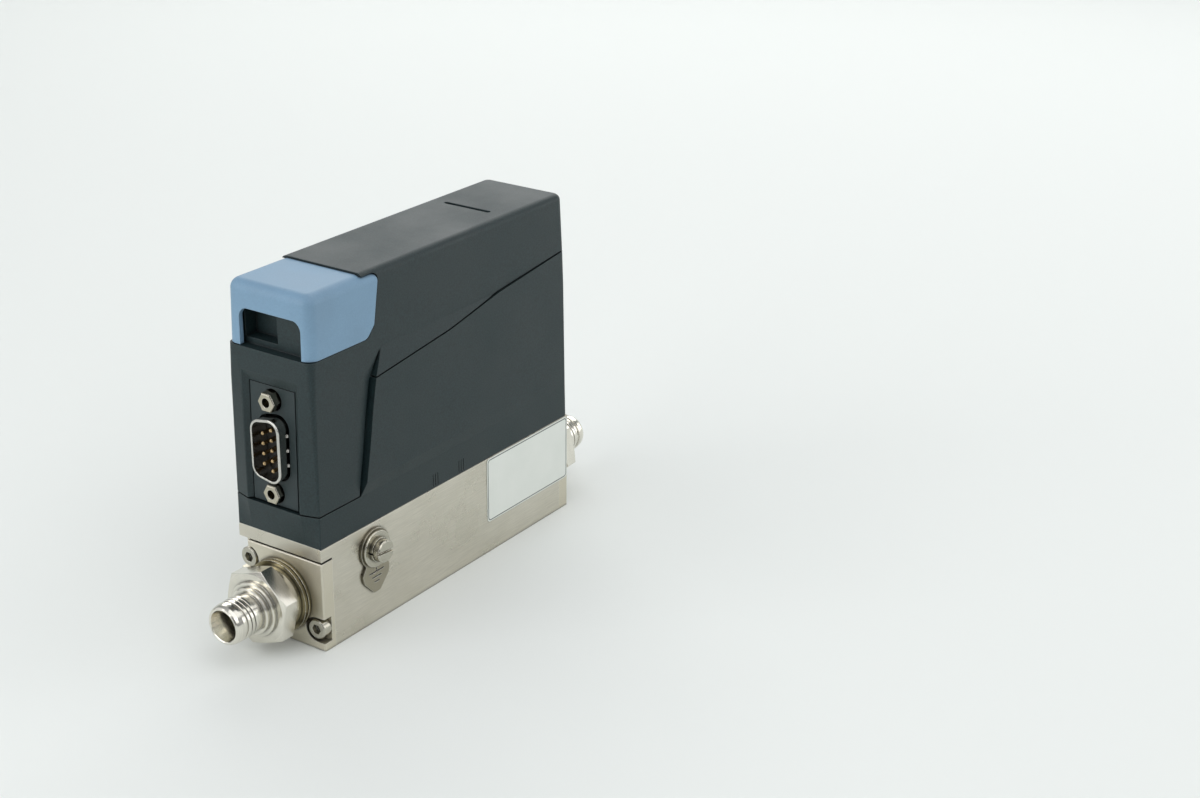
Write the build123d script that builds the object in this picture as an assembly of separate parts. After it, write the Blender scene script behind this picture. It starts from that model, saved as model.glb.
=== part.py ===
"""Gas mass flow controller: steel flow block, plastic housing, blue cap and upright D-sub plug.

Units are millimetres and +Z is up. X runs across the width, Y along the flow, and the origin is
the centre of the block's base face. The D-sub end of the controller faces -Y.
"""
import os
from math import cos, pi, radians, sin, sqrt, tan

from build123d import *

# ---- flow block and its end plates
BLOCK_WIDTH = 28.0
BLOCK_LENGTH = 107.5
BLOCK_HEIGHT = 29.1
BLOCK_EDGE = 0.35
FLOW_HEIGHT = 12.8
PLATE_THICK = 4.1
PLATE_HEIGHT = 24.9
PLATE_SLOT = 0.6
PLATE_EDGE = 0.25
HALF_WIDTH = BLOCK_WIDTH / 2
HALF_LENGTH = BLOCK_LENGTH / 2
CORE_HALF_LENGTH = HALF_LENGTH - PLATE_THICK

# ---- plate screws, set diagonally about the flow axis
PLATE_SCREW_SIDE = 11.2
PLATE_SCREW_RISE = 7.1
SCREW_HEAD_RADIUS = 2.75
SCREW_HEAD_HEIGHT = 2.8
SCREW_SHANK_RADIUS = 1.5
SOCKET_CORNER = 1.45
SOCKET_DEPTH = 1.5
SCREW_LENGTH = 8.0
SCREW_SEAT_RADIUS = 3.5
SCREW_SINK = 0.05
SCREW_FREE = 0.2

# ---- passages in the block
BYPASS_RADIUS = 6.5
BYPASS_DEPTH = 41.6
PASSAGE_RADIUS = 2.5
RISER_RADIUS = 1.4
VALVE_Y = 20.0
VALVE_BORE_RADIUS = 8.0
VALVE_BORE_DEPTH = 6.1
SEAT_RADIUS = 4.0
SEAT_DEPTH = 6.0
SENSOR_Y = -27.0
SENSOR_SPAN = 22.0
TAP_RADIUS = 0.8
BASE_HOLE_RADIUS = 1.65
BASE_HOLE_DEPTH = 7.0
BASE_HOLE_SPACING_X = 18.0
BASE_HOLE_SPACING_Y = 60.0

# ---- tube fittings, measured outwards from the plate's face
FITTING_BORE = 2.4
TUBE_SOCKET = 3.2
MOUTH_RADIUS = 4.35
NOSE_RADIUS = 5.5
NOSE_LENGTH = 3.1
THREAD_ROOT = 5.15
COLLAR_RADIUS = 6.3
RIM_RADIUS = 7.4
HEX_FLATS = 19.05
HEX_BACK = 5.0
HEX_FRONT = 10.05
HEX_TURN = 18.5
FITTING_END = 21.75
SHANK_RADIUS = 6.0
SEAL_THICK = 2.05
SEAL_RADIUS = 10.0
CLOSE_FIT = 0.02

# ---- housing: heights are above the block's top, depths are from the block's front face
BAND_HEIGHT = 8.7
WAIST_HEIGHT = 41.0
SHOULDER_HEIGHT = 50.0
HOOD_HEIGHT = 67.4
WEDGE_TOP = SHOULDER_HEIGHT - 2.9
PANEL_TOP = SHOULDER_HEIGHT - 10.6
PANEL_RISE = PANEL_TOP - BAND_HEIGHT
BOW_FRONT = 1.25
BOW_HALF_WIDTH = 9.0
DRAFT_TOP = 0.6
REAR_LEAN = 1.3
TOP_ROUND = 1.9
WALL = 2.0
SPLIT_GAP = 0.4
FOOT_HEIGHT = 2.0
LIP_HEIGHT = 1.5
PANEL_PROUD = 1.0
PANEL_FACET = 3.5
SCOOP_DEPTH = 2.6
SCOOP_SINK = 0.45
SCOOP_SLOT = 1.0
BAND_GROOVES = (45.15, 46.15, 47.15, 56.3, 57.3, 58.3)
GROOVE_WIDTH = 0.3
GROOVE_DEPTH = 0.25
SLOT_FROM_FRONT = 79.1
SLOT_WIDTH = 1.5
SLOT_HALF = 7.8

# Front edge of the side panel, then the parting line: (from front face, above block).
PANEL_EDGE = ((16.05, BAND_HEIGHT), (17.6, BAND_HEIGHT + 0.13 * PANEL_RISE),
              (18.2, BAND_HEIGHT + 0.26 * PANEL_RISE), (19.2, BAND_HEIGHT + 0.39 * PANEL_RISE),
              (20.1, BAND_HEIGHT + 0.56 * PANEL_RISE), (20.9, BAND_HEIGHT + 0.73 * PANEL_RISE),
              (21.8, BAND_HEIGHT + 0.9 * PANEL_RISE), (22.6, PANEL_TOP))
PARTING = ((53.3, PANEL_TOP + 3.6), (75.4, PANEL_TOP + 7.8), (104.4, PANEL_TOP + 11.2))
WEDGE_EDGE = ((25.7, WEDGE_TOP - 1.1), (26.45, WEDGE_TOP))
# Finger scoop ahead of that edge: (above block, run-out ahead of the edge, share of the full depth).
SCOOP = ((BAND_HEIGHT + 0.1, 1.4, 0.04), (BAND_HEIGHT + 0.13 * PANEL_RISE, 5.9, 0.7),
         (BAND_HEIGHT + 0.39 * PANEL_RISE, 8.6, 1.0), (BAND_HEIGHT + 0.73 * PANEL_RISE, 8.6, 1.0),
         (PANEL_TOP, 6.4, 1.0), (WEDGE_TOP - 1.0, 1.4, 0.04))

# ---- cap
CAP_HEIGHT = HOOD_HEIGHT - 0.5
CAP_WALL = 1.4
CAP_ROUND = 2.8
CAP_CORNER = 3.0
CAP_FRONT_SET = 0.1
CAP_BACK = 20.25
CAP_GAP = 0.2
WING_CLEAR = 0.15
WING = ((20.9, 0.2, 2.6), (23.9, 3.2, 1.5))
WING_BACK = 26.4
WING_TOP = CAP_HEIGHT - 0.5
WING_ROUND = 2.0
NOTCH_LEFT = -9.4
NOTCH_RIGHT = 10.8
NOTCH_TOP = CAP_HEIGHT - 6.8
NOTCH_ROUND = 2.7
BROW_SET = 2.75
POCKET_LEFT = -9.8
POCKET_RIGHT = 0.85
POCKET_BOTTOM = SHOULDER_HEIGHT + 1.6
POCKET_TOP = CAP_HEIGHT - 4.9
POCKET_DEPTH = 3.9
RAIL_TOP = CAP_HEIGHT - CAP_WALL - 1.0
RAIL_DEPTH = 4.5

# ---- connector
DSUB_RISE = 24.9
PIN_PITCH = 2.77
PIN_ROW = 1.42
PIN_RADIUS = 0.5
SHELL_INSIDE_HALF = 4.18
SHELL_WIDE_HALF = 8.46
SHELL_WALL = 0.45
SHELL_CORNER = 2.6
SHELL_REACH = 6.0
SHELL_SHEET = 0.5
RIM_ROLL = 0.22
FLANGE_HALF_WIDTH = 6.2
FLANGE_HALF_HEIGHT = 15.4
DSUB_BACK = 5.5
DSUB_EAR = 2.5
JACK_SPACING = 25.0
JACK_FLATS = 4.8
JACK_REACH = 4.85
JACK_THREAD = 1.25
JACK_STEM = 1.4
JACK_TAIL = 3.4
JACK_WINDOW = 2.95
INSERT_HALF = 7.4
INSERT_TOP = 41.0
INSERT_LIP = 1.0
INSERT_GAP = 0.3
RECESS_DEPTH = 1.0
FLANGE_SEAT = 2.85

# ---- earth terminal and label on the +X side
EARTH_FROM_FRONT = 20.15
EARTH_HEIGHT = 21.7
EARTH_SHANK = 2.0
EARTH_HEAD_RADIUS = 3.1
EARTH_HEAD_HEIGHT = 1.9
EARTH_SLOT = 0.9
EARTH_SLOT_TURN = -6.6
LUG_THICK = 0.7
LUG_RADIUS = 5.6
WASHER_THICK = 0.8
WASHER_RADIUS = 5.1
SPRING_WASHER_THICK = 0.9
SPRING_WASHER_RADIUS = 3.4
LABEL_LENGTH = 38.5
LABEL_HEIGHT = 19.3
LABEL_THICK = 0.15
LABEL_FROM_FRONT = 68.65
LABEL_BOTTOM = 9.4

# Half of the lug's leaf below the screw: (half width, drop below the screw, corner radius).
LUG_LEAF = ((3.8, 4.0, 1.2), (5.3, 6.4, 1.5), (4.8, 8.8, 2.0), (1.2, 12.6, 1.0))
# Bars of the earth symbol: (half width, drop below the screw).
LUG_BARS = ((3.0, 6.7), (1.85, 8.15), (1.0, 9.55))

# ---- valve, sensor and board inside
SMALL_SCREW_RADIUS = 1.25
SMALL_SCREW_LENGTH = 6.0
SMALL_HEAD_RADIUS = 2.4
SMALL_HEAD_HEIGHT = 1.6
SENSOR_FOOT_HALF = 8.5
SENSOR_FOOT_HEIGHT = 4.0
SENSOR_FOOT_MARGIN = 3.5
SENSOR_RISE = 10.0
SENSOR_BEND = 3.0
CAPILLARY_RADIUS = 0.45
CAPILLARY_BORE = 0.25
WINDING_RADIUS = 0.9
WINDING_HALF_LENGTH = 3.0
SEAL_HEIGHT = 0.85
SLEEVE_FLANGE_RADIUS = 10.0
SLEEVE_SPIGOT = 2.0
SLEEVE_EAR = 17.6
STUD_RADIUS = 2.5
SPRING_POCKET = 4.0
SPRING_RADIUS = 2.0
SPRING_TURNS = 5
SLEEVE_FLANGE_THICK = 3.0
SLEEVE_RADIUS = 5.0
SLEEVE_BORE = 4.05
PLUNGER_RADIUS = 4.0
PLUNGER_LENGTH = 17.0
PLUNGER_LIFT = 0.4
SEAT_TOUCH = 0.01
COIL_RADIUS = 10.8
COIL_HEIGHT = 22.0
YOKE_THICK = 1.4
NUT_HEIGHT = 3.5
BOARD_THICK = 1.6
BOARD_BOTTOM = 15.0
BOARD_STEP = 36.0
BOARD_HEAD = 13.0
BOARD_TAIL = 8.0
BOARD_ROOF = RAIL_TOP - RAIL_DEPTH - 1.4
BOARD_LEDGE = BOARD_ROOF - 12.6
CAN_RADIUS = 3.1
CAN_HEIGHT = 7.5
CAN_FROM_FRONT = 84.0
CAN_DROP = 4.5
# Parts on the board: (side, height off the board, from the front, to, above the block, to).
BOARD_CHIPS = ((1, 1.4, 14.0, 22.0, 20.0, 28.0), (1, 1.2, 25.0, 31.0, 32.0, 38.0),
               (-1, 1.6, 40.0, 52.0, BOARD_ROOF - 8.5, BOARD_ROOF - 0.5),
               (1, 5.5, 60.0, 72.0, BOARD_ROOF - 9.5, BOARD_ROOF - 3.5))


def block(x0, x1, y0, y1, z0, z1):
    """Upright box between the given limits."""
    return Pos((x0 + x1) / 2, (y0 + y1) / 2, (z0 + z1) / 2) * Box(x1 - x0, y1 - y0, z1 - z0)


def rod_x(radius, x0, x1, y, z):
    """Cylinder along X."""
    return Pos((x0 + x1) / 2, y, z) * Rot(0, 90, 0) * Cylinder(radius, x1 - x0)


def rod_y(radius, y0, y1, x, z):
    """Cylinder along Y."""
    return Pos(x, (y0 + y1) / 2, z) * Rot(90, 0, 0) * Cylinder(radius, y1 - y0)


def rod_z(radius, z0, z1, x, y):
    """Cylinder along Z."""
    return Pos(x, y, (z0 + z1) / 2) * Cylinder(radius, z1 - z0)


def turned_y(profile):
    """Solid turned about Y from (radius, y) points."""
    return revolve(make_face(Polyline(*profile, close=True)), Axis.Y)


def turned_z(profile):
    """Solid turned about Z from (radius, z) points."""
    return Rot(90, 0, 0) * turned_y(profile)


def rounded_wire(corners, level=0.0):
    """Closed outline through (x, y, radius) corners in the plane z = level."""
    spots = [Vector(x, y, level) for x, y, _ in corners]
    ends = []
    edges = []
    for i, here in enumerate(spots):
        radius = corners[i][2]
        before = (spots[i - 1] - here).normalized()
        after = (spots[(i + 1) % len(spots)] - here).normalized()
        if radius == 0:
            ends.append((here, here))
            continue
        half = radians(before.get_angle(after)) / 2
        middle = (before + after).normalized()
        start = here + before * (radius / tan(half))
        end = here + after * (radius / tan(half))
        crown = here + middle * (radius / sin(half) - radius)
        edges.append(Edge.make_three_point_arc(start, crown, end))
        ends.append((start, end))
    for i in range(len(spots)):
        edges.append(Edge.make_line(ends[i - 1][1], ends[i][0]))
    return Wire(edges)


def plain(points):
    """Corners without any rounding."""
    return [(x, y, 0) for x, y in points]


def prism_x(corners, x0, x1):
    """Prism along X from (y, z, radius) corners."""
    face = Face(rounded_wire(corners)).moved(Plane.YZ.offset(x0).location)
    return Solid.extrude(face, Vector(x1 - x0, 0, 0))


def prism_y(corners, y0, y1):
    """Prism along Y from (x, z, radius) corners."""
    face = Face(rounded_wire(corners)).moved(Plane.XZ.offset(-y0).location)
    return Solid.extrude(face, Vector(0, y1 - y0, 0))


def both_sides(shape):
    """A shape together with its mirror image across the middle plane."""
    return shape + mirror(shape, about=Plane.YZ)


def half_turn(shape):
    """The same piece at the rear end of the block."""
    return Rot(0, 0, 180) * shape


def group(solids):
    """Separate solids kept in one node."""
    return Compound(children=[Solid(s.solid().wrapped) for s in solids])


def depth(distance):
    """Y of a point a given distance behind the front face."""
    return distance - HALF_LENGTH


def rise(height):
    """Z of a point a given height above the block."""
    return BLOCK_HEIGHT + height


# ------------------------------------------------------------------ block, plates and fittings

def plate_screw_spots():
    """(x, z) of the two screws of the front plate."""
    return ((-PLATE_SCREW_SIDE, FLOW_HEIGHT + PLATE_SCREW_RISE),
            (PLATE_SCREW_SIDE, FLOW_HEIGHT - PLATE_SCREW_RISE))


def base_hole_spots():
    """(x, y) of the four threaded holes in the base."""
    return [(i * BASE_HOLE_SPACING_X / 2, j * BASE_HOLE_SPACING_Y / 2) for i in (-1, 1) for j in (-1, 1)]


def housing_screw_spots():
    """(x, y) of the four screws that hold the lower housing on the block."""
    return [(i * 6.6, j * (HALF_LENGTH - 6.2)) for i in (-1, 1) for j in (-1, 1)]


def sensor_tap_spots():
    """(x, y) of the two sensor taps."""
    return [(0, SENSOR_Y - SENSOR_SPAN / 2), (0, SENSOR_Y + SENSOR_SPAN / 2)]


def make_block():
    """Flow block with overhanging top ends, passages and screw holes."""
    side = ((-HALF_LENGTH, BLOCK_HEIGHT), (-HALF_LENGTH, PLATE_HEIGHT + PLATE_SLOT),
            (-CORE_HALF_LENGTH, PLATE_HEIGHT + PLATE_SLOT), (-CORE_HALF_LENGTH, 0))
    outline = side + tuple((-y, z) for y, z in reversed(side))
    body = prism_x(plain(outline), -HALF_WIDTH, HALF_WIDTH)
    long_edges = body.edges().filter_by(Axis.Y).sort_by(Axis.Z)
    body = Part() + chamfer(long_edges[-2:], BLOCK_EDGE)
    body -= rod_y(BYPASS_RADIUS, -CORE_HALF_LENGTH, BYPASS_DEPTH - CORE_HALF_LENGTH, 0, FLOW_HEIGHT)
    body -= rod_y(PASSAGE_RADIUS, -CORE_HALF_LENGTH, VALVE_Y - SEAT_RADIUS - 3.0, 0, FLOW_HEIGHT)
    body -= rod_y(PASSAGE_RADIUS, VALVE_Y - RISER_RADIUS, CORE_HALF_LENGTH, 0, FLOW_HEIGHT)
    body -= rod_z(RISER_RADIUS, FLOW_HEIGHT, BLOCK_HEIGHT, 0, VALVE_Y - SEAT_RADIUS - 2.4)
    body -= rod_z(RISER_RADIUS, FLOW_HEIGHT, BLOCK_HEIGHT, 0, VALVE_Y)
    body -= rod_z(VALVE_BORE_RADIUS, BLOCK_HEIGHT - VALVE_BORE_DEPTH, BLOCK_HEIGHT, 0, VALVE_Y)
    seat_floor = BLOCK_HEIGHT - VALVE_BORE_DEPTH - SEAT_DEPTH
    body -= rod_z(SEAT_RADIUS, seat_floor, BLOCK_HEIGHT, 0, VALVE_Y)
    for x, y in sensor_tap_spots():
        body -= rod_z(TAP_RADIUS, FLOW_HEIGHT, BLOCK_HEIGHT, x, y)
    for x, z in plate_screw_spots():
        hole = rod_y(SCREW_SHANK_RADIUS + SCREW_SINK, -CORE_HALF_LENGTH, SCREW_LENGTH - CORE_HALF_LENGTH,
                     x, z)
        body -= hole
        body -= half_turn(hole)
    for x, y in base_hole_spots():
        body -= rod_z(BASE_HOLE_RADIUS, 0, BASE_HOLE_DEPTH, x, y)
    for x, y in housing_screw_spots() + valve_screw_spots() + sensor_screw_spots():
        body -= rod_z(SMALL_SCREW_RADIUS + SCREW_SINK, BLOCK_HEIGHT - 5.5, BLOCK_HEIGHT, x, y)
    body -= rod_x(EARTH_SHANK + SCREW_SINK, HALF_WIDTH - 5.5, HALF_WIDTH, depth(EARTH_FROM_FRONT),
                  EARTH_HEIGHT)
    return body


def make_plate():
    """Front end plate: bore for the fitting, two open screw seats, eased edges."""
    body = block(-HALF_WIDTH, HALF_WIDTH, -HALF_LENGTH, -CORE_HALF_LENGTH, 0, PLATE_HEIGHT)
    body = chamfer(body.faces().sort_by(Axis.Y)[0].edges(), PLATE_EDGE)
    body -= rod_y(SHANK_RADIUS + CLOSE_FIT, -HALF_LENGTH, -CORE_HALF_LENGTH, 0, FLOW_HEIGHT)
    ring = rod_y(8.2, -CORE_HALF_LENGTH - 0.8, -CORE_HALF_LENGTH, 0, FLOW_HEIGHT)
    body -= ring - rod_y(7.0, -CORE_HALF_LENGTH - 0.8, -CORE_HALF_LENGTH, 0, FLOW_HEIGHT)
    floor = -HALF_LENGTH + SCREW_HEAD_HEIGHT
    for x, z in plate_screw_spots():
        away = HALF_WIDTH + 1 if x > 0 else -HALF_WIDTH - 1
        body -= rod_y(SCREW_SEAT_RADIUS, -HALF_LENGTH, floor, x, z)
        body -= block(min(x, away), max(x, away), -HALF_LENGTH, floor, z - SCREW_SEAT_RADIUS,
                      z + SCREW_SEAT_RADIUS)
        body -= rod_y(SCREW_SHANK_RADIUS + SCREW_FREE, floor, -CORE_HALF_LENGTH, x, z)
    corner_x, corner_z = plate_screw_spots()[0]
    body -= block(-HALF_WIDTH - 1, corner_x, -HALF_LENGTH, floor, corner_z, PLATE_HEIGHT + 1)
    return body


def make_plate_screws():
    """Socket head screws of one plate."""
    screws = []
    for x, z in plate_screw_spots():
        face = -HALF_LENGTH
        seat = face + SCREW_HEAD_HEIGHT
        head = rod_y(SCREW_HEAD_RADIUS, face, seat, x, z)
        head = chamfer(head.faces().sort_by(Axis.Y)[0].edges(), 0.3)
        shank = rod_y(SCREW_SHANK_RADIUS, seat, seat + SCREW_LENGTH, x, z)
        socket = [(x + SOCKET_CORNER * cos(i * pi / 3), z + SOCKET_CORNER * sin(i * pi / 3)) for i in range(6)]
        screws.append(head + shank - prism_y(plain(socket), face, face + SOCKET_DEPTH))
    return screws


def make_fitting():
    """Front tube fitting: shank, hexagon, stepped collars, nose with a thread root and tapered mouth."""
    face = HALF_LENGTH
    nose = FITTING_END - NOSE_LENGTH
    profile = [(FITTING_BORE, -PLATE_THICK + 0.3), (SHANK_RADIUS - 0.4, -PLATE_THICK + 0.3),
               (SHANK_RADIUS, -PLATE_THICK + 0.7), (SHANK_RADIUS, 0), (7.1, 0), (7.1, SEAL_THICK),
               (8.6, SEAL_THICK), (8.6, HEX_BACK), (8.8, HEX_BACK), (8.8, HEX_FRONT), (RIM_RADIUS,
                                                                                       HEX_FRONT),
               (RIM_RADIUS, HEX_FRONT + 0.9), (RIM_RADIUS - 0.2, HEX_FRONT + 1.1),
               (COLLAR_RADIUS, HEX_FRONT + 1.1), (COLLAR_RADIUS, HEX_FRONT + 2.1),
               (COLLAR_RADIUS - 0.3, HEX_FRONT + 2.4), (THREAD_ROOT, HEX_FRONT + 2.4), (THREAD_ROOT, nose),
               (NOSE_RADIUS, nose + 0.2), (NOSE_RADIUS, nose + 0.9), (NOSE_RADIUS - 0.15, FITTING_END
                                                                      - 1.1),
               (NOSE_RADIUS - 0.45, FITTING_END - 0.35), (NOSE_RADIUS - 0.8, FITTING_END),
               (MOUTH_RADIUS + 0.1, FITTING_END), (MOUTH_RADIUS - 0.1, FITTING_END - 0.15),
               (TUBE_SOCKET, FITTING_END - 4.0), (TUBE_SOCKET, HEX_FRONT + 0.5),
               (FITTING_BORE, HEX_FRONT + 0.5)]
    body = turned_y([(r, -face - out) for r, out in profile])
    corner = HEX_FLATS / sqrt(3)
    hexagon = [(corner * cos(radians(HEX_TURN) + i * pi / 3), corner * sin(radians(HEX_TURN) + i * pi / 3))
               for i in range(6)]
    nut = prism_y(plain(hexagon), -face - HEX_FRONT, -face - HEX_BACK)
    bevel = 0.5
    flat = HEX_FLATS / 2 - 0.15
    nut = nut & turned_y([(0, -face - HEX_BACK), (flat, -face - HEX_BACK),
                          (corner + 0.05, -face - HEX_BACK - bevel - 0.1),
                          (corner + 0.05, -face - HEX_FRONT + bevel + 0.1), (flat, -face - HEX_FRONT),
                          (0, -face - HEX_FRONT)])
    nut -= rod_y(8.0, -face - HEX_FRONT, -face - HEX_BACK, 0, 0)
    return Pos(0, 0, FLOW_HEIGHT) * (body + nut)


def make_fitting_seal():
    """Turned seal ring with a groove round its rim."""
    face = HALF_LENGTH
    bore = 7.1 + CLOSE_FIT
    rim = SEAL_RADIUS
    profile = ((bore, 0), (rim, 0), (rim, 0.85), (rim - 0.5, 1.05), (rim - 0.15, 1.25),
               (rim - 0.15, SEAL_THICK), (bore, SEAL_THICK))
    return Pos(0, 0, FLOW_HEIGHT) * turned_y([(r, -face - out) for r, out in profile])


# ------------------------------------------------------------------ housing

def section(height, half_width, front, bow_half, bow, rear, front_round, rear_round):
    """Plan outline of the housing at one height above the block."""
    corners = [(-half_width, -front, front_round), (-bow_half, -bow, 0), (bow_half, -bow, 0),
               (half_width, -front, front_round), (half_width, rear, rear_round),
               (-half_width, rear, rear_round)]
    return rounded_wire(corners, rise(height))


def make_envelope():
    """Outer form of both housing shells: drafted sides, bowed front column, round corners."""
    w = HALF_WIDTH
    l = HALF_LENGTH
    sections = [
        section(0, w, l, BOW_HALF_WIDTH, l, l, 0.3, 1.4),
        section(BAND_HEIGHT, w, l - 0.2, BOW_HALF_WIDTH, l + BOW_FRONT, l - 0.2, 0.4, 1.5),
        section(WAIST_HEIGHT, w - 0.1, l, BOW_HALF_WIDTH + 0.75, l + 0.35, l - 0.85, 1.4, 1.6),
        section(SHOULDER_HEIGHT, w - 0.15, l + 0.1, BOW_HALF_WIDTH + 2.2, l + 0.1, l - 1.0, 2.0, 2.0),
        section(HOOD_HEIGHT, w - DRAFT_TOP, l - 0.3, BOW_HALF_WIDTH + 1, l - 0.3, l - REAR_LEAN, 2.8, 2.6)]
    body = Solid.make_loft(sections, ruled=True)
    rim = body.faces().sort_by(Axis.Z)[-1].edges()
    rim = rim.filter_by(lambda e: e.center().Y > -HALF_LENGTH + 4)
    return Part() + fillet(rim, TOP_ROUND)


def parting_height(y):
    """Height of the parting line above the block at a given Y."""
    spots = [(depth(d), h) for d, h in (PANEL_EDGE[-1],) + PARTING]
    for (y0, h0), (y1, h1) in zip(spots, spots[1:]):
        if y <= y1:
            return h0 + (h1 - h0) * (y - y0) / (y1 - y0)
    return spots[-1][1]


def pad_offset(y):
    """How far the side panel stands out at a given Y."""
    rear = HALF_LENGTH - 3.5
    return max(0.02, PANEL_PROUD * (rear - y) / (rear + 35.0))


def make_pad():
    """Raised field of the +X side panel with a lower facet and an upper wedge, as one solid."""
    inner = HALF_WIDTH - 4
    outer = HALF_WIDTH
    fore = []
    stops = [depth(15.0), depth(PANEL_EDGE[-1][0]), depth(PARTING[0][0]), depth(PARTING[1][0]) - 0.3]
    for y in stops:
        edge = outer + pad_offset(y)
        top = parting_height(max(y, depth(PANEL_EDGE[-1][0])))
        fore.append(Wire.make_polygon([(inner, y, rise(BAND_HEIGHT)), (outer - 0.02, y, rise(BAND_HEIGHT)),
                                       (edge, y, rise(BAND_HEIGHT + PANEL_FACET)), (edge, y, rise(top)),
                                       (outer - 0.16, y, rise(WEDGE_TOP)), (inner, y, rise(WEDGE_TOP))]))
    aft = []
    for y in (stops[-1], depth(PARTING[2][0])):
        edge = outer + pad_offset(y)
        top = rise(parting_height(y))
        aft.append(Wire.make_polygon([(inner, y, rise(BAND_HEIGHT)), (outer - 0.02, y, rise(BAND_HEIGHT)),
                                      (edge, y, rise(BAND_HEIGHT + PANEL_FACET)), (edge, y, top),
                                      (inner, y, top)]))
    limit = [(depth(d), rise(h)) for d, h in PANEL_EDGE + WEDGE_EDGE]
    limit += [(HALF_LENGTH, rise(WEDGE_TOP)), (HALF_LENGTH, rise(SHOULDER_HEIGHT + 3)),
              (HALF_LENGTH + 1, rise(BAND_HEIGHT))]
    body = Solid.make_loft(fore, ruled=True) & prism_x(plain(limit), inner, outer + 3)
    return Part() + body + Solid.make_loft(aft, ruled=True)


def edge_y(height):
    """Y of the side panel's front edge at a height above the block."""
    spots = PANEL_EDGE + WEDGE_EDGE[:1]
    for (d0, h0), (d1, h1) in zip(spots, spots[1:]):
        if height <= h1:
            return depth(d0 + (d1 - d0) * (height - h0) / (h1 - h0))
    return depth(spots[-1][0])


def side_x(height):
    """X of the housing's drafted side at a height above the block."""
    if height <= WAIST_HEIGHT:
        return HALF_WIDTH - 0.1 * max(0.0, height - BAND_HEIGHT) / (WAIST_HEIGHT - BAND_HEIGHT)
    return HALF_WIDTH - 0.1 - 0.05 * (height - WAIST_HEIGHT) / (SHOULDER_HEIGHT - WAIST_HEIGHT)


def make_scoop():
    """Finger scoop on the +X side: the column rolls in, then drops into a slot at the panel's edge."""
    wires = []
    outside = HALF_WIDTH + 2
    for height, run, share in SCOOP:
        z = rise(height)
        back = edge_y(height)
        front = back - run
        lip = back - min(SCOOP_SLOT * 1.15, run * 0.5)
        toe = back - min(SCOOP_SLOT, run * 0.4)
        face = side_x(height) + 0.03
        rolled = face - SCOOP_SINK * share
        floor = face - SCOOP_DEPTH * share
        sag = Vector(face - 0.25 * (face - rolled), (front + lip) / 2, z)
        corners = [Vector(rolled, lip, z), Vector(floor, toe, z), Vector(floor, back, z),
                   Vector(outside, back, z), Vector(outside, front, z), Vector(face, front, z)]
        edges = [Edge.make_line(start, end) for start, end in zip(corners, corners[1:])]
        wires.append(Wire([Edge.make_three_point_arc(corners[-1], sag, corners[0])] + edges))
    return Part() + Solid.make_loft(wires, ruled=True)


def lower_region(shift_y=0.0, shift_z=0.0):
    """Side view region of the lower housing, moved by a small amount for gaps and lips."""
    line = [(-HALF_LENGTH - 6, rise(BAND_HEIGHT))]
    line += [(depth(d), rise(h)) for d, h in PANEL_EDGE + PARTING]
    line += [(HALF_LENGTH + 6, rise(PARTING[-1][1] + 1.1))]
    line = [(y + shift_y, z + shift_z) for y, z in line]
    line += [(HALF_LENGTH + 6, -5), (-HALF_LENGTH - 8, -5)]
    return line


def make_cavity():
    """Hollow inside both shells."""
    front_half = HALF_WIDTH - SCOOP_DEPTH - 1.6
    top = rise(HOOD_HEIGHT) - 1.8
    seat = -HALF_LENGTH + FLANGE_SEAT - INSERT_LIP
    room = block(-HALF_WIDTH + WALL, HALF_WIDTH - WALL, depth(28), HALF_LENGTH - WALL - REAR_LEAN, 0, top)
    room += block(-front_half, front_half, seat, depth(29), 0, rise(SHOULDER_HEIGHT - 1.6))
    room += block(-front_half, front_half, depth(8.4), depth(29), 0, rise(CAP_HEIGHT) - CAP_WALL - 1.8)
    return room


def cap_region(grow):
    """Side view region of the cap's skirt and wings, grown by a gap."""
    low, middle = WING
    bottom = CAP_GAP - grow
    return [(-HALF_LENGTH - 3, rise(SHOULDER_HEIGHT + bottom), 0),
            (depth(low[0]) + grow, rise(SHOULDER_HEIGHT + bottom), low[2]),
            (depth(middle[0]) + grow, rise(SHOULDER_HEIGHT + middle[1]), middle[2]),
            (depth(WING_BACK) + grow, rise(WING_TOP) + grow, WING_ROUND),
            (depth(CAP_BACK) + grow, rise(WING_TOP) + grow, 0),
            (depth(CAP_BACK) + grow, rise(HOOD_HEIGHT + 3), 0),
            (-HALF_LENGTH - 3, rise(HOOD_HEIGHT + 3), 0)]


def make_brow():
    """Part of the hood that stands inside the cap."""
    half = HALF_WIDTH - 0.15 - CAP_WALL - WING_CLEAR - 0.1
    front = -HALF_LENGTH + BROW_SET
    return block(-half, half, front, depth(30), rise(SHOULDER_HEIGHT) - 2, rise(CAP_HEIGHT) - CAP_WALL)


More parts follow.
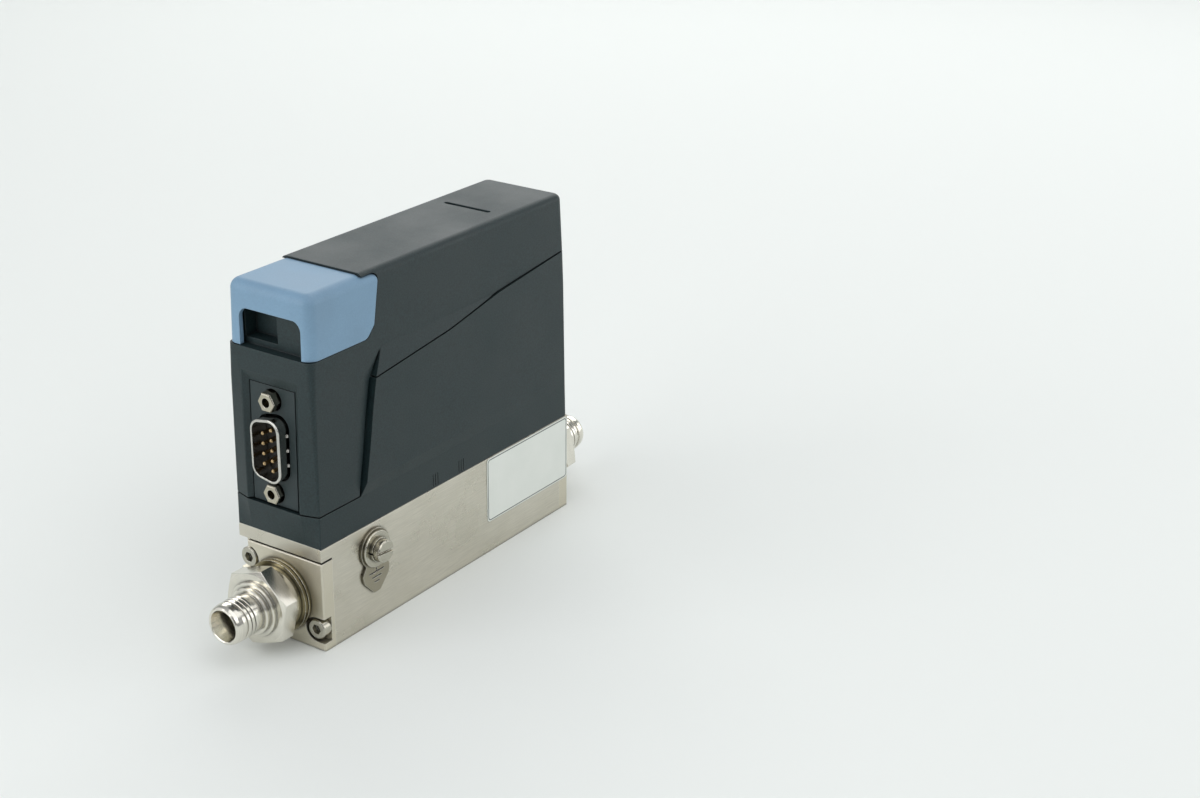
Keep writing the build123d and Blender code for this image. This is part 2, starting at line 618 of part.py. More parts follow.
def make_shells():
    """Lower housing and upper hood, split along the parting line with an inner lip."""
    shell = make_envelope() + both_sides(make_pad())
    shell -= both_sides(make_scoop())
    shell -= make_cavity()
    inside = block(-HALF_WIDTH + 1.0, HALF_WIDTH - 1.0, -HALF_LENGTH + 1.6, HALF_LENGTH - REAR_LEAN
                   - 0.9, 0,
                   rise(HOOD_HEIGHT))
    span = (-HALF_WIDTH - 3, HALF_WIDTH + 3)
    skin = prism_x(plain(lower_region()), *span)
    lip = prism_x(plain(lower_region(-1.2, LIP_HEIGHT)), *span) & inside
    grown_inside = block(-HALF_WIDTH + 0.9, HALF_WIDTH - 0.9, -HALF_LENGTH + 1.5,
                         HALF_LENGTH - REAR_LEAN - 0.8, 0, rise(HOOD_HEIGHT))
    skin_gap = prism_x(plain(lower_region(-SPLIT_GAP * 0.75, SPLIT_GAP)), *span)
    lip_gap = prism_x(plain(lower_region(-1.3, LIP_HEIGHT + 0.1)), *span) & grown_inside
    lower = shell & (Part() + skin + lip)
    hood = shell - skin_gap - lip_gap
    return lower, hood


def finish_lower(lower):
    """Band grooves, screw feet and the passage round the connector insert."""
    for y in [depth(d) for d in BAND_GROOVES]:
        groove = block(HALF_WIDTH - GROOVE_DEPTH, HALF_WIDTH + 1, y - GROOVE_WIDTH / 2, y
                       + GROOVE_WIDTH / 2,
                       rise(0.4), rise(4.0))
        lower -= both_sides(groove)
    for x, y in housing_screw_spots():
        inner = abs(x) - 3
        reach = HALF_LENGTH - 2.5
        foot = block(min(abs(x), inner), HALF_WIDTH - 1, min(y - 3, y + 3), max(y - 3, y + 3), rise(0),
                     rise(FOOT_HEIGHT))
        wall = block(inner, HALF_WIDTH - 1, min(abs(y) - 3, reach), reach, rise(0), rise(FOOT_HEIGHT))
        wall = wall if y > 0 else mirror(wall, about=Plane.XZ)
        foot = foot + wall
        lower += foot if x > 0 else mirror(foot, about=Plane.YZ)
        lower -= rod_z(SMALL_SCREW_RADIUS + SCREW_FREE, rise(-1), rise(3), x, y)
    lower -= block(-INSERT_HALF - INSERT_GAP, INSERT_HALF + INSERT_GAP, -HALF_LENGTH - 3,
                   -HALF_LENGTH + FLANGE_SEAT, rise(BAND_HEIGHT), rise(BAND_HEIGHT + LIP_HEIGHT + 1))
    lower -= block(-INSERT_HALF - 1.8, INSERT_HALF + 1.8, -HALF_LENGTH + FLANGE_SEAT - INSERT_LIP - 0.1,
                   -HALF_LENGTH + FLANGE_SEAT + 1.5, rise(BAND_HEIGHT), rise(BAND_HEIGHT + LIP_HEIGHT + 1))
    return lower


def lean_plane():
    """Plane of the front column's face: x across, y up the face, z outwards."""
    fall = BOW_FRONT - 0.35
    slope = fall / (WAIST_HEIGHT - BAND_HEIGHT)
    return Plane(origin=(0, -HALF_LENGTH - BOW_FRONT, rise(BAND_HEIGHT)), x_dir=(1, 0, 0),
                 z_dir=(0, -1, slope))


def make_recess():
    """Shallow recess with slanted walls in the front column."""
    low = -1.0
    outer = [(-BOW_HALF_WIDTH - 0.5, low), (BOW_HALF_WIDTH + 0.5, low), (BOW_HALF_WIDTH + 1.3, 37.0),
             (-BOW_HALF_WIDTH - 1.3, 37.0)]
    floor = [(-INSERT_HALF - INSERT_GAP, low), (INSERT_HALF + INSERT_GAP, low),
             (INSERT_HALF + INSERT_GAP, INSERT_TOP - BAND_HEIGHT + 0.2),
             (-INSERT_HALF - INSERT_GAP, INSERT_TOP - BAND_HEIGHT + 0.2)]
    wires = [Wire.make_polygon([(x, y, level) for x, y in points])
             for points, level in ((outer, 0.6), (floor, -RECESS_DEPTH))]
    return Part() + Solid.make_loft(wires, ruled=True).moved(lean_plane().location)


def finish_hood(hood):
    """Cap seat, brow, pocket, connector window, top slot and board rail."""
    half_brow = HALF_WIDTH - 0.15 - CAP_WALL - WING_CLEAR - 0.1
    span = (-HALF_WIDTH - 3, HALF_WIDTH + 3)
    seat = Part() + prism_x(cap_region(CAP_GAP), *span)
    wing_inner = block(-half_brow, half_brow, depth(CAP_BACK) + CAP_GAP, HALF_LENGTH,
                       rise(SHOULDER_HEIGHT - 1),
                       rise(HOOD_HEIGHT + 4))
    seat -= wing_inner
    brow = make_brow() - make_cavity()
    seat -= make_brow()
    hood -= seat
    hood += brow
    front = -HALF_LENGTH + BROW_SET
    hood -= block(POCKET_LEFT, POCKET_RIGHT, front - 1, front + POCKET_DEPTH, rise(POCKET_BOTTOM),
                  rise(POCKET_TOP))
    hood -= make_recess()
    hood -= block(-INSERT_HALF - INSERT_GAP, INSERT_HALF + INSERT_GAP, -HALF_LENGTH - 4,
                  -HALF_LENGTH + FLANGE_SEAT, rise(BAND_HEIGHT), rise(INSERT_TOP + 0.2))
    slot = [(-SLOT_HALF, depth(SLOT_FROM_FRONT), 0.7), (SLOT_HALF, depth(SLOT_FROM_FRONT), 0.7),
            (SLOT_HALF, depth(SLOT_FROM_FRONT) + SLOT_WIDTH, 0.7),
            (-SLOT_HALF, depth(SLOT_FROM_FRONT) + SLOT_WIDTH, 0.7)]
    hood -= Solid.extrude(Face(rounded_wire(slot, rise(HOOD_HEIGHT) - 1.0)), Vector(0, 0, 2))
    rail = block(-3, 3, depth(BOARD_HEAD - 1), HALF_LENGTH - BOARD_TAIL + 2, rise(RAIL_TOP - RAIL_DEPTH),
                 rise(RAIL_TOP))
    rail -= block(-BOARD_THICK / 2 - 0.1, BOARD_THICK / 2 + 0.1, depth(BOARD_HEAD - 2),
                  HALF_LENGTH - BOARD_TAIL + 3, rise(RAIL_TOP - RAIL_DEPTH) - 1, rise(RAIL_TOP
                                                                                      - RAIL_DEPTH + 2.5))
    bridge = block(-3, 3, depth(30), HALF_LENGTH - BOARD_TAIL + 2, rise(RAIL_TOP) - 0.5,
                   rise(HOOD_HEIGHT) - 1)
    return hood + rail + bridge


def make_cap():
    """Blue cap: rounded front, side wings and a notch over the pocket."""
    w = HALF_WIDTH
    base = SHOULDER_HEIGHT + CAP_GAP
    front = HALF_LENGTH - CAP_FRONT_SET
    rear = depth(34)

    def ring(height, half, face):
        corners = [(-half, -face), (half, -face), (half, rear), (-half, rear)]
        return rounded_wire(plain(corners), rise(height))

    body = Part() + Solid.make_loft([ring(base, w - 0.15, front),
                                     ring(CAP_HEIGHT, w - DRAFT_TOP + 0.1, front - 0.3)],
                                    ruled=True)
    uprights = body.edges().filter_by(lambda e: abs(e.tangent_at(0.5).Z) > 0.5).sort_by(Axis.Y)
    body = fillet(uprights[:2], CAP_CORNER)
    rim = body.faces().sort_by(Axis.Z)[-1].edges().filter_by(lambda e: e.center().Y < rear - 1)
    body = fillet(rim, CAP_ROUND)
    body = body & prism_x(cap_region(0), -w - 2, w + 2)
    half = w - 0.15 - CAP_WALL - 0.1
    hollow = block(-half, half, -front + CAP_WALL, rear + 2, rise(base) - 2, rise(CAP_HEIGHT) - CAP_WALL)
    hollow = fillet(hollow.edges().filter_by(Axis.Z).sort_by(Axis.Y)[:2], 1.2)
    body -= hollow
    body -= block(-half, half, depth(CAP_BACK), rear + 2, rise(CAP_HEIGHT) - CAP_WALL - 1,
                  rise(CAP_HEIGHT) + 1)
    notch = prism_y([(NOTCH_LEFT, rise(base) - 3, 0), (NOTCH_RIGHT, rise(base) - 3, 0),
                     (NOTCH_RIGHT, rise(NOTCH_TOP), NOTCH_ROUND), (NOTCH_LEFT, rise(NOTCH_TOP),
                                                                   NOTCH_ROUND)],
                    -HALF_LENGTH - 2, -HALF_LENGTH + 3)
    return body - notch


# ------------------------------------------------------------------ connector

def d_corners(grow):
    """Corners of the D outline, grown evenly."""
    lean = radians(10)
    half = SHELL_INSIDE_HALF + grow
    wide = SHELL_WIDE_HALF + grow * (1 / cos(lean) + tan(lean))
    narrow = SHELL_WIDE_HALF - 2 * SHELL_INSIDE_HALF * tan(lean) + grow * (1 / cos(lean) - tan(lean))
    middle = rise(DSUB_RISE)
    radius = SHELL_CORNER + grow
    return [(half, middle - wide, radius), (half, middle + wide, radius), (-half, middle + narrow, radius),
            (-half, middle - narrow, radius)]


def jack_heights():
    """Heights of the two jackscrews."""
    return (rise(DSUB_RISE) - JACK_SPACING / 2, rise(DSUB_RISE) + JACK_SPACING / 2)


def make_dsub():
    """Shell, insulator, contacts and jackscrews of the 9-way plug."""
    flange = -HALF_LENGTH + FLANGE_SEAT
    rim = flange - SHELL_REACH
    middle = rise(DSUB_RISE)
    back = flange + SHELL_SHEET
    wide = FLANGE_HALF_WIDTH
    tall = FLANGE_HALF_HEIGHT
    shell = prism_y(d_corners(SHELL_WALL), rim, back)
    roll = prism_y(d_corners(SHELL_WALL + RIM_ROLL), rim, rim + 0.6)
    roll = fillet(roll.faces().sort_by(Axis.Y)[0].edges(), 0.3)
    plate = prism_y([(-wide, middle - tall, 1), (wide, middle - tall, 1), (wide, middle + tall, 1),
                     (-wide, middle + tall, 1)], flange, back)
    shell = Part() + shell + roll + plate - prism_y(d_corners(0), rim - 1, back + 1)
    for z in jack_heights():
        shell -= rod_y(JACK_STEM + 0.15, flange - 1, back + 1, 0, z)
    for z in (middle - 4, middle, middle + 4):
        shell += Pos(SHELL_INSIDE_HALF + SHELL_WALL, flange - 2.6, z) * Sphere(0.55) - prism_y(
            d_corners(0.1), rim - 1, flange + 1)
    body = prism_y(d_corners(-CLOSE_FIT), flange - 0.6, back)
    body = Part() + body + block(-5.2, 5.2, back, back + DSUB_BACK, middle - 9.6, middle + 9.6)
    for z in jack_heights():
        ear = block(-4, 4, back, back + DSUB_EAR, z - 3, z + 3)
        body += ear + block(-4, 4, back, back + DSUB_EAR, min(z, middle), max(z, middle))
        body -= rod_y(JACK_STEM + 0.05, flange, back + 3.5, 0, z)
    pins = []
    rows = [(PIN_ROW, k) for k in (-2, -1, 0, 1, 2)] + [(-PIN_ROW, k) for k in (-1.5, -0.5, 0.5, 1.5)]
    for x, k in rows:
        z = middle + k * PIN_PITCH
        pin = rod_y(PIN_RADIUS, rim + 0.65, flange + 8.5, x, z)
        pins.append(chamfer(pin.faces().sort_by(Axis.Y)[0].edges(), 0.25))
        body -= rod_y(PIN_RADIUS + CLOSE_FIT, flange - 2, flange + 7, x, z)
    jacks = []
    for z in jack_heights():
        corner = JACK_FLATS / sqrt(3)
        hexagon = [(corner * cos(i * pi / 3), z + corner * sin(i * pi / 3)) for i in range(6)]
        jack = Part() + prism_y(plain(hexagon), flange - JACK_REACH, flange)
        jack = chamfer(jack.faces().sort_by(Axis.Y)[0].edges(), 0.25)
        jack += rod_y(JACK_STEM, flange, flange + JACK_TAIL, 0, z)
        jacks.append(jack - rod_y(JACK_THREAD, flange - JACK_REACH, flange - 0.3, 0, z))
    return {"dsub_shell": shell, "dsub_insulator": body, "dsub_pins": group(pins),
            "jackscrews": group(jacks)}


def make_insert():
    """Connector panel: leaning face, rear lip, D cut-out and two jackscrew holes."""
    seat = -HALF_LENGTH + FLANGE_SEAT
    low = BAND_HEIGHT + SPLIT_GAP
    plane = lean_plane()
    fall = plane.z_dir.Z / -plane.z_dir.Y
    face_low = -HALF_LENGTH - BOW_FRONT + RECESS_DEPTH
    side = [(seat, rise(low)), (face_low, rise(low)), (face_low + fall * (INSERT_TOP - BAND_HEIGHT),
            rise(INSERT_TOP)), (seat, rise(INSERT_TOP))]
    body = Part() + prism_x(plain(side), -INSERT_HALF, INSERT_HALF)
    body += block(-INSERT_HALF - 1.5, INSERT_HALF + 1.5, seat - INSERT_LIP, seat, rise(low),
                  rise(INSERT_TOP + 2))
    body -= prism_y(d_corners(SHELL_WALL + RIM_ROLL + 0.35), -HALF_LENGTH - 4, seat + 1)
    for z in jack_heights():
        body -= rod_y(JACK_WINDOW, -HALF_LENGTH - 4, seat + 1, 0, z)
    return body


# ------------------------------------------------------------------ earth terminal and label

def make_earth():
    """Lug, washers and slotted screw on the +X side."""
    y = depth(EARTH_FROM_FRONT)
    z = EARTH_HEIGHT
    x = HALF_WIDTH
    top = x + LUG_THICK
    free = EARTH_SHANK + 0.15
    leaf = [(y - w, z - drop, r) for w, drop, r in LUG_LEAF] + [(y + w, z - drop, r) for w, drop,
                                                                r in LUG_LEAF[::-1]]
    lug = Part() + prism_x([(y - 3.8, z, 0)] + leaf + [(y + 3.8, z, 0)], x, top) + rod_x(LUG_RADIUS, x,
                                                                                         top, y, z)
    lug -= rod_x(free, x - 1, top + 1, y, z)
    for half, drop in LUG_BARS:
        lug -= block(top - 0.2, top + 1, y - half, y + half, z - drop - 0.2, z - drop + 0.2)
    lug -= block(top - 0.2, top + 1, y - 0.2, y + 0.2, z - LUG_BARS[0][1], z - LUG_BARS[0][1] + 1.6)
    washer = rod_x(WASHER_RADIUS, top, top + WASHER_THICK, y, z) - rod_x(free, top - 1, top + 3, y, z)
    washer = chamfer(washer.faces().sort_by(Axis.X)[-1].edges().sort_by(SortBy.LENGTH)[-1:], 0.2)
    top += WASHER_THICK
    split = rod_x(SPRING_WASHER_RADIUS, top, top + SPRING_WASHER_THICK, y, z) - rod_x(free, top - 1, top
                                                                                      + 3, y, z)
    split -= Pos(top, y, z) * block(-1, 3, -5, 0, -0.3, 0.3)
    top += SPRING_WASHER_THICK
    head = rod_x(EARTH_HEAD_RADIUS, top, top + EARTH_HEAD_HEIGHT, y, z)
    head = chamfer(head.faces().sort_by(Axis.X)[-1].edges(), 0.3)
    end = top + EARTH_HEAD_HEIGHT
    slot = block(end - 0.9, end + 1, -5, 5, -EARTH_SLOT / 2, EARTH_SLOT / 2)
    head -= Pos(0, y, z) * Rot(EARTH_SLOT_TURN, 0, 0) * slot
    screw = head + rod_x(EARTH_SHANK, x - 5, top, y, z)
    return {"earth_lug": lug, "earth_washer": washer, "earth_spring_washer": split, "earth_screw": screw}


def make_label():
    """Bare label plate with rounded corners."""
    y0 = depth(LABEL_FROM_FRONT)
    z0 = LABEL_BOTTOM
    corners = [(y0, z0, 1.2), (y0 + LABEL_LENGTH, z0, 1.2), (y0 + LABEL_LENGTH, z0 + LABEL_HEIGHT, 1.2),
               (y0, z0 + LABEL_HEIGHT, 1.2)]
    return prism_x(corners, HALF_WIDTH, HALF_WIDTH + LABEL_THICK)


# ------------------------------------------------------------------ inside: sensor, valve, board, seals

def sensor_screw_spots():
    """(x, y) of the sensor foot's screws."""
    return [(6.2 * i, SENSOR_Y + 8 * i) for i in (-1, 1)]


def valve_screw_spots():
    """(x, y) of the valve sleeve's screws."""
    return [(0, VALVE_Y + (SLEEVE_EAR - 2.7) * i) for i in (-1, 1)]


def make_sensor():
    """Foot, capillary tube and windings of the thermal sensor."""
    half = SENSOR_SPAN / 2
    reach = half + SENSOR_FOOT_MARGIN
    over = rise(SENSOR_FOOT_HEIGHT) + 1
    foot = block(-SENSOR_FOOT_HALF, SENSOR_FOOT_HALF, SENSOR_Y - reach, SENSOR_Y + reach, BLOCK_HEIGHT,
                 rise(SENSOR_FOOT_HEIGHT))
    foot = fillet(foot.edges().filter_by(Axis.Z), 2)
    for x, y in sensor_tap_spots():
        foot -= rod_z(CAPILLARY_RADIUS + CLOSE_FIT, BLOCK_HEIGHT - 1, over, x, y)
        foot -= rod_z(1.9, BLOCK_HEIGHT - 1, BLOCK_HEIGHT + SEAL_HEIGHT + 0.05, x, y)
    for x, y in sensor_screw_spots():
        foot -= rod_z(SMALL_SCREW_RADIUS + SCREW_FREE, BLOCK_HEIGHT - 1, over, x, y)
    top = rise(SENSOR_RISE)
    y0 = SENSOR_Y - half
    y1 = SENSOR_Y + half
    path = Polyline((0, y0, rise(1)), (0, y0, top), (0, y1, top), (0, y1, rise(1)))
    path = fillet(path.vertices().sort_by(Axis.Z)[2:], SENSOR_BEND)
    start = Plane(origin=path @ 0, z_dir=path % 0)
    tube = sweep(start * Circle(CAPILLARY_RADIUS) - start * RegularPolygon(CAPILLARY_BORE, 6), path=path)
    windings = []
    for i in (-1, 1):
        centre = SENSOR_Y + i * 3.6
        reach = WINDING_HALF_LENGTH
        coil = rod_y(WINDING_RADIUS, centre - reach, centre + reach, 0, top)
        windings.append(coil - rod_y(CAPILLARY_RADIUS + CLOSE_FIT, centre - reach - 1, centre + reach
                                     + 1, 0, top))
    return {"sensor_base": foot, "sensor_tube": tube, "sensor_windings": group(windings)}


def make_valve():
    """Seat, sleeve, plunger, spring, coil, yoke and nut of the solenoid valve."""
    y = VALVE_Y
    seat_floor = BLOCK_HEIGHT - VALVE_BORE_DEPTH - SEAT_DEPTH
    seat_top = BLOCK_HEIGHT - VALVE_BORE_DEPTH + 1.2
    seat = turned_z([(0.6, seat_floor), (SEAT_RADIUS - CLOSE_FIT, seat_floor),
                     (SEAT_RADIUS - CLOSE_FIT, seat_top - 1.2), (2.0, seat_top - 0.8), (1.6, seat_top),
                     (0.6, seat_top)])
    low = seat_top + SEAT_TOUCH
    high = low + PLUNGER_LENGTH
    stop = high + PLUNGER_LIFT + 0.05
    foot_top = rise(SLEEVE_FLANGE_THICK)
    coil_low = foot_top + YOKE_THICK
    coil_high = coil_low + COIL_HEIGHT
    tube_top = coil_high + YOKE_THICK
    stud = tube_top + NUT_HEIGHT + 0.5
    spigot = BLOCK_HEIGHT - SLEEVE_SPIGOT
    pocket = SPRING_RADIUS + 0.6
    sleeve = turned_z([(SLEEVE_BORE, spigot), (VALVE_BORE_RADIUS - CLOSE_FIT, spigot),
                       (VALVE_BORE_RADIUS - CLOSE_FIT, BLOCK_HEIGHT), (SLEEVE_FLANGE_RADIUS, BLOCK_HEIGHT),
                       (SLEEVE_FLANGE_RADIUS, foot_top), (SLEEVE_RADIUS, foot_top), (SLEEVE_RADIUS,
                                                                                     tube_top),
                       (STUD_RADIUS, tube_top), (STUD_RADIUS, stud), (0, stud), (0, stop + SPRING_POCKET),
                       (pocket, stop + SPRING_POCKET), (pocket, stop), (SLEEVE_BORE, stop)])
    sleeve = Pos(0, y, 0) * sleeve
    ears = prism_z_ears(y)
    sleeve += ears
    plunger = turned_z([(0, low), (2.2, low), (2.2, low + 0.8), (PLUNGER_RADIUS - 0.4, low + 0.8),
                        (PLUNGER_RADIUS, low + 1.2), (PLUNGER_RADIUS, high - 0.4), (PLUNGER_RADIUS - 0.4,
                                                                                    high),
                        (pocket, high), (pocket, high - SPRING_POCKET), (0, high - SPRING_POCKET)])
    spring_low = high - SPRING_POCKET + 0.05
    spring_high = stop + SPRING_POCKET - 0.05
    wire = 0.25
    pitch = (spring_high - spring_low - 2 * wire) / SPRING_TURNS
    coil_path = Helix(pitch, pitch * SPRING_TURNS, SPRING_RADIUS)
    across = Plane(origin=coil_path @ 0, z_dir=coil_path % 0)
    spring = sweep(across * RegularPolygon(wire, 6), path=coil_path)
    spring = Pos(0, y, spring_low + wire) * spring
    bore = SLEEVE_RADIUS + 0.1
    coil = turned_z([(bore, coil_low), (COIL_RADIUS, coil_low), (COIL_RADIUS, coil_low + 1.2),
                     (COIL_RADIUS - 0.7, coil_low + 1.2), (COIL_RADIUS - 0.7, coil_high - 1.2),
                     (COIL_RADIUS, coil_high - 1.2), (COIL_RADIUS, coil_high), (bore, coil_high)])
    yoke = block(-7.5, 7.5, y - COIL_RADIUS - 0.1 - YOKE_THICK, y + COIL_RADIUS + 0.1 + YOKE_THICK,
                 foot_top,
                 coil_high + YOKE_THICK)
    yoke -= block(-8, 8, y - COIL_RADIUS - 0.1, y + COIL_RADIUS + 0.1, coil_low, coil_high)
    yoke -= rod_z(bore, foot_top - 1, coil_high + 3, 0, y)
    corner = 9.0 / sqrt(3)
    nut_low = tube_top
    nut = Pos(0, y, nut_low) * extrude(RegularPolygon(corner, 6), NUT_HEIGHT)
    nut -= rod_z(STUD_RADIUS + CLOSE_FIT, nut_low - 1, nut_low + NUT_HEIGHT + 1, 0, y)
    place = Pos(0, y, 0)
    return {"valve_seat": place * seat, "valve_sleeve": sleeve, "valve_plunger": place * plunger,
            "valve_spring": spring, "valve_coil": place * coil, "valve_yoke": yoke, "valve_nut": nut}


def prism_z_ears(y):
    """Two screw ears on the valve sleeve's foot."""
    ears = block(-3.2, 3.2, y - SLEEVE_EAR, y + SLEEVE_EAR, BLOCK_HEIGHT, rise(SLEEVE_FLANGE_THICK - 1))
    ears -= rod_z(SLEEVE_FLANGE_RADIUS - 1, BLOCK_HEIGHT - 1, rise(5), 0, y)
    for x, spot in valve_screw_spots():
        ears -= rod_z(SMALL_SCREW_RADIUS + SCREW_FREE, BLOCK_HEIGHT - 1, rise(5), x, spot)
    return ears


def small_screw(x, y, seat):
    """Short pan head screw pointing down."""
    end = seat - SMALL_SCREW_LENGTH
    body = turned_z([(0, end), (SMALL_SCREW_RADIUS, end), (SMALL_SCREW_RADIUS, seat),
                     (SMALL_HEAD_RADIUS, seat),
                     (SMALL_HEAD_RADIUS, seat + 0.9), (SMALL_HEAD_RADIUS - 0.7, seat + SMALL_HEAD_HEIGHT),
                     (0, seat + SMALL_HEAD_HEIGHT)])
    return Pos(x, y, 0) * body


def make_board():
    """Control board and the larger parts soldered to it."""
    half = BOARD_THICK / 2
    front = -HALF_LENGTH + FLANGE_SEAT + 6.2
    top = rise(RAIL_TOP - RAIL_DEPTH + 2.4)
    ledge = rise(BOARD_LEDGE)
    outline = [(front, rise(BOARD_BOTTOM)), (depth(BOARD_STEP), rise(BOARD_BOTTOM)),
               (depth(BOARD_STEP), ledge),
               (HALF_LENGTH - BOARD_TAIL, ledge), (HALF_LENGTH - BOARD_TAIL, top), (depth(BOARD_HEAD), top),
               (depth(BOARD_HEAD), ledge), (front, ledge)]
    board = Part() + prism_x(plain(outline), -half, half)
    board -= rod_x(1.6, -2, 2, depth(BOARD_STEP - 4), rise(BOARD_BOTTOM + 5))
    parts = []
    for side, tall, near, far, low, high in BOARD_CHIPS:
        skin = side * half
        edge = side * (half + tall)
        parts.append(block(min(skin, edge), max(skin, edge), depth(near), depth(far), rise(low),
                           rise(high)))
    parts.append(rod_x(CAN_RADIUS, half, half + CAN_HEIGHT, depth(CAN_FROM_FRONT),
                       rise(BOARD_ROOF - CAN_DROP)))
    return {"circuit_board": board, "board_parts": group([Part() + p for p in parts])}


def make_seals():
    """O-rings under the plates, the sensor foot and the valve sleeve."""
    rings = []
    plate_ring = rod_y(8.1, -CORE_HALF_LENGTH - 0.75, -CORE_HALF_LENGTH, 0, FLOW_HEIGHT)
    plate_ring -= rod_y(7.1, -CORE_HALF_LENGTH - 1, -CORE_HALF_LENGTH + 1, 0, FLOW_HEIGHT)
    rings += [plate_ring, half_turn(plate_ring)]
    for x, y in sensor_tap_spots():
        rings.append(rod_z(1.85, BLOCK_HEIGHT, BLOCK_HEIGHT + SEAL_HEIGHT, x, y)
                     - rod_z(0.9, BLOCK_HEIGHT - 1, BLOCK_HEIGHT + 2, x, y))
    return group(rings)


def make_flow_element():
    """Laminar flow bypass: core with two close rings and flow channels between them."""
    start = -CORE_HALF_LENGTH + 3
    end = BYPASS_DEPTH - CORE_HALF_LENGTH
    ring = BYPASS_RADIUS - CLOSE_FIT
    core = 5.2
    body = turned_y([(0, start), (core - 1, start), (core, start + 1), (core, start + 4), (ring, start + 4),
                     (ring, start + 6), (core, start + 6), (core, end - 6), (ring, end - 6), (ring, end
                                                                                              - 4),
                     (core, end - 4), (core, end - 1), (core - 1, end), (0, end)])
    body = Pos(0, 0, FLOW_HEIGHT) * body
    for i in range(6):
        channel = block(-0.5, 0.5, start - 1, end + 1, core, ring + 1)
        body -= Pos(0, 0, FLOW_HEIGHT) * Rot(0, i * 60, 0) * channel
    return body


def make_all():
    """Every node of the controller by name."""
    plate = make_plate()
    screws = make_plate_screws()
    fitting = make_fitting()
    seal = make_fitting_seal()
    lower, hood = make_shells()
    nodes = {"base_block": make_block(),
             "inlet_flange": plate,
             "outlet_flange": half_turn(plate),
             "flange_screws": group(screws + [half_turn(s) for s in screws]),
             "inlet_fitting": fitting,
             "outlet_fitting": half_turn(fitting),
             "fitting_seals": group([seal, half_turn(seal)]),
             "lower_housing": finish_lower(lower),
             "upper_hood": finish_hood(hood),
             "front_cap": make_cap(),
             "connector_panel": make_insert(),
             "rating_label": make_label(),
             "flow_element": make_flow_element(),
             "block_seals": make_seals()}
    nodes.update(make_dsub())
    nodes.update(make_earth())
    nodes.update(make_sensor())
    nodes.update(make_valve())
    nodes.update(make_board())
    feet = [small_screw(x, y, rise(FOOT_HEIGHT)) for x, y in housing_screw_spots()]
    nodes["housing_screws"] = group(feet)
    inner = [small_screw(x, y, rise(SENSOR_FOOT_HEIGHT)) for x, y in sensor_screw_spots()]
    inner += [small_screw(x, y, rise(SLEEVE_FLANGE_THICK - 1)) for x, y in valve_screw_spots()]
    nodes["inner_screws"] = group(inner)
    return nodes


os.makedirs("parts", exist_ok=True)
for name, shape in make_all().items():
    export_step(shape, f"parts/{name}.step")
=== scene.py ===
"""Looks for a gas mass flow controller: finishes, fine pieces, studio and camera.

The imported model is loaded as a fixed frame, in metres with +Z up. Sizes in this file are in
millimetres and are turned to metres by mm().
"""
import logging
import math
from dataclasses import dataclass, field
from enum import Enum

import bmesh
import bpy
from mathutils import Matrix, Vector


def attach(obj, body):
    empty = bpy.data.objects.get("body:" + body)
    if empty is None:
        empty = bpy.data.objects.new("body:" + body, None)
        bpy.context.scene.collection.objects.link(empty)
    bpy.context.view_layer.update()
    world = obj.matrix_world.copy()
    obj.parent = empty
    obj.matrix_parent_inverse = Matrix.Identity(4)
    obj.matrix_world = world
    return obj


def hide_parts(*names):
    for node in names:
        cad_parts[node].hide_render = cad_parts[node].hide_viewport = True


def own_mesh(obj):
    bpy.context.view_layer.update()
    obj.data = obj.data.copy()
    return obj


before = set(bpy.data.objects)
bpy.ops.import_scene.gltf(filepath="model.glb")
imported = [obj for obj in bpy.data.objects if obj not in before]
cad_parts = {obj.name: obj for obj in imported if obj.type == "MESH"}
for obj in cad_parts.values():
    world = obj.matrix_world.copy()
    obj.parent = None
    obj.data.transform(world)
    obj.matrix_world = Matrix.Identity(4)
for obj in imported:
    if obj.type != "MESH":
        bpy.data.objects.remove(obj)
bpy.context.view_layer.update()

LOG = logging.getLogger("mass_flow_controller")
BODY = "controller"
PER_METRE = 1000.0  # millimetres in a metre
DRAWN = 0.02  # pattern scale along a mark that is drawn out
NOISE_SPAN = (0.3, 0.7)  # where nearly all of a noise texture's values lie
COLOUR_A, COLOUR_B, COLOUR_OUT = 6, 7, 2  # colour sockets of Blender's mix node


def mm(value: float) -> float:
    """Millimetres to metres."""
    return value / PER_METRE


def linear(code: str) -> tuple[float, float, float, float]:
    """Turn an sRGB hex colour into linear values.

    Args:
        code: six hex digits, such as "3d4849".

    Returns:
        Linear red, green, blue and an alpha of one.
    """
    parts = [int(code[i:i + 2], 16) / 255.0 for i in (0, 2, 4)]
    red, green, blue = (c / 12.92 if c <= 0.04045 else ((c + 0.055) / 1.055) ** 2.4
                        for c in parts)
    return red, green, blue, 1.0


def add_node(tree: bpy.types.NodeTree, kind: str, values: dict | None = None,
             links: dict | None = None, **settings: object) -> bpy.types.Node:
    """Add one shader node with its settings, input values and links.

    Args:
        tree: node tree that takes the node.
        kind: Blender's type name of the node.
        values: input names or numbers and their values.
        links: input names or numbers and the output sockets that feed them.
        settings: attributes of the node itself.

    Returns:
        The new node.
    """
    node = tree.nodes.new(kind)
    for name, value in settings.items():
        setattr(node, name, value)
    for name, value in (values or {}).items():
        node.inputs[name].default_value = value
    for name, socket in (links or {}).items():
        tree.links.new(socket, node.inputs[name])
    return node


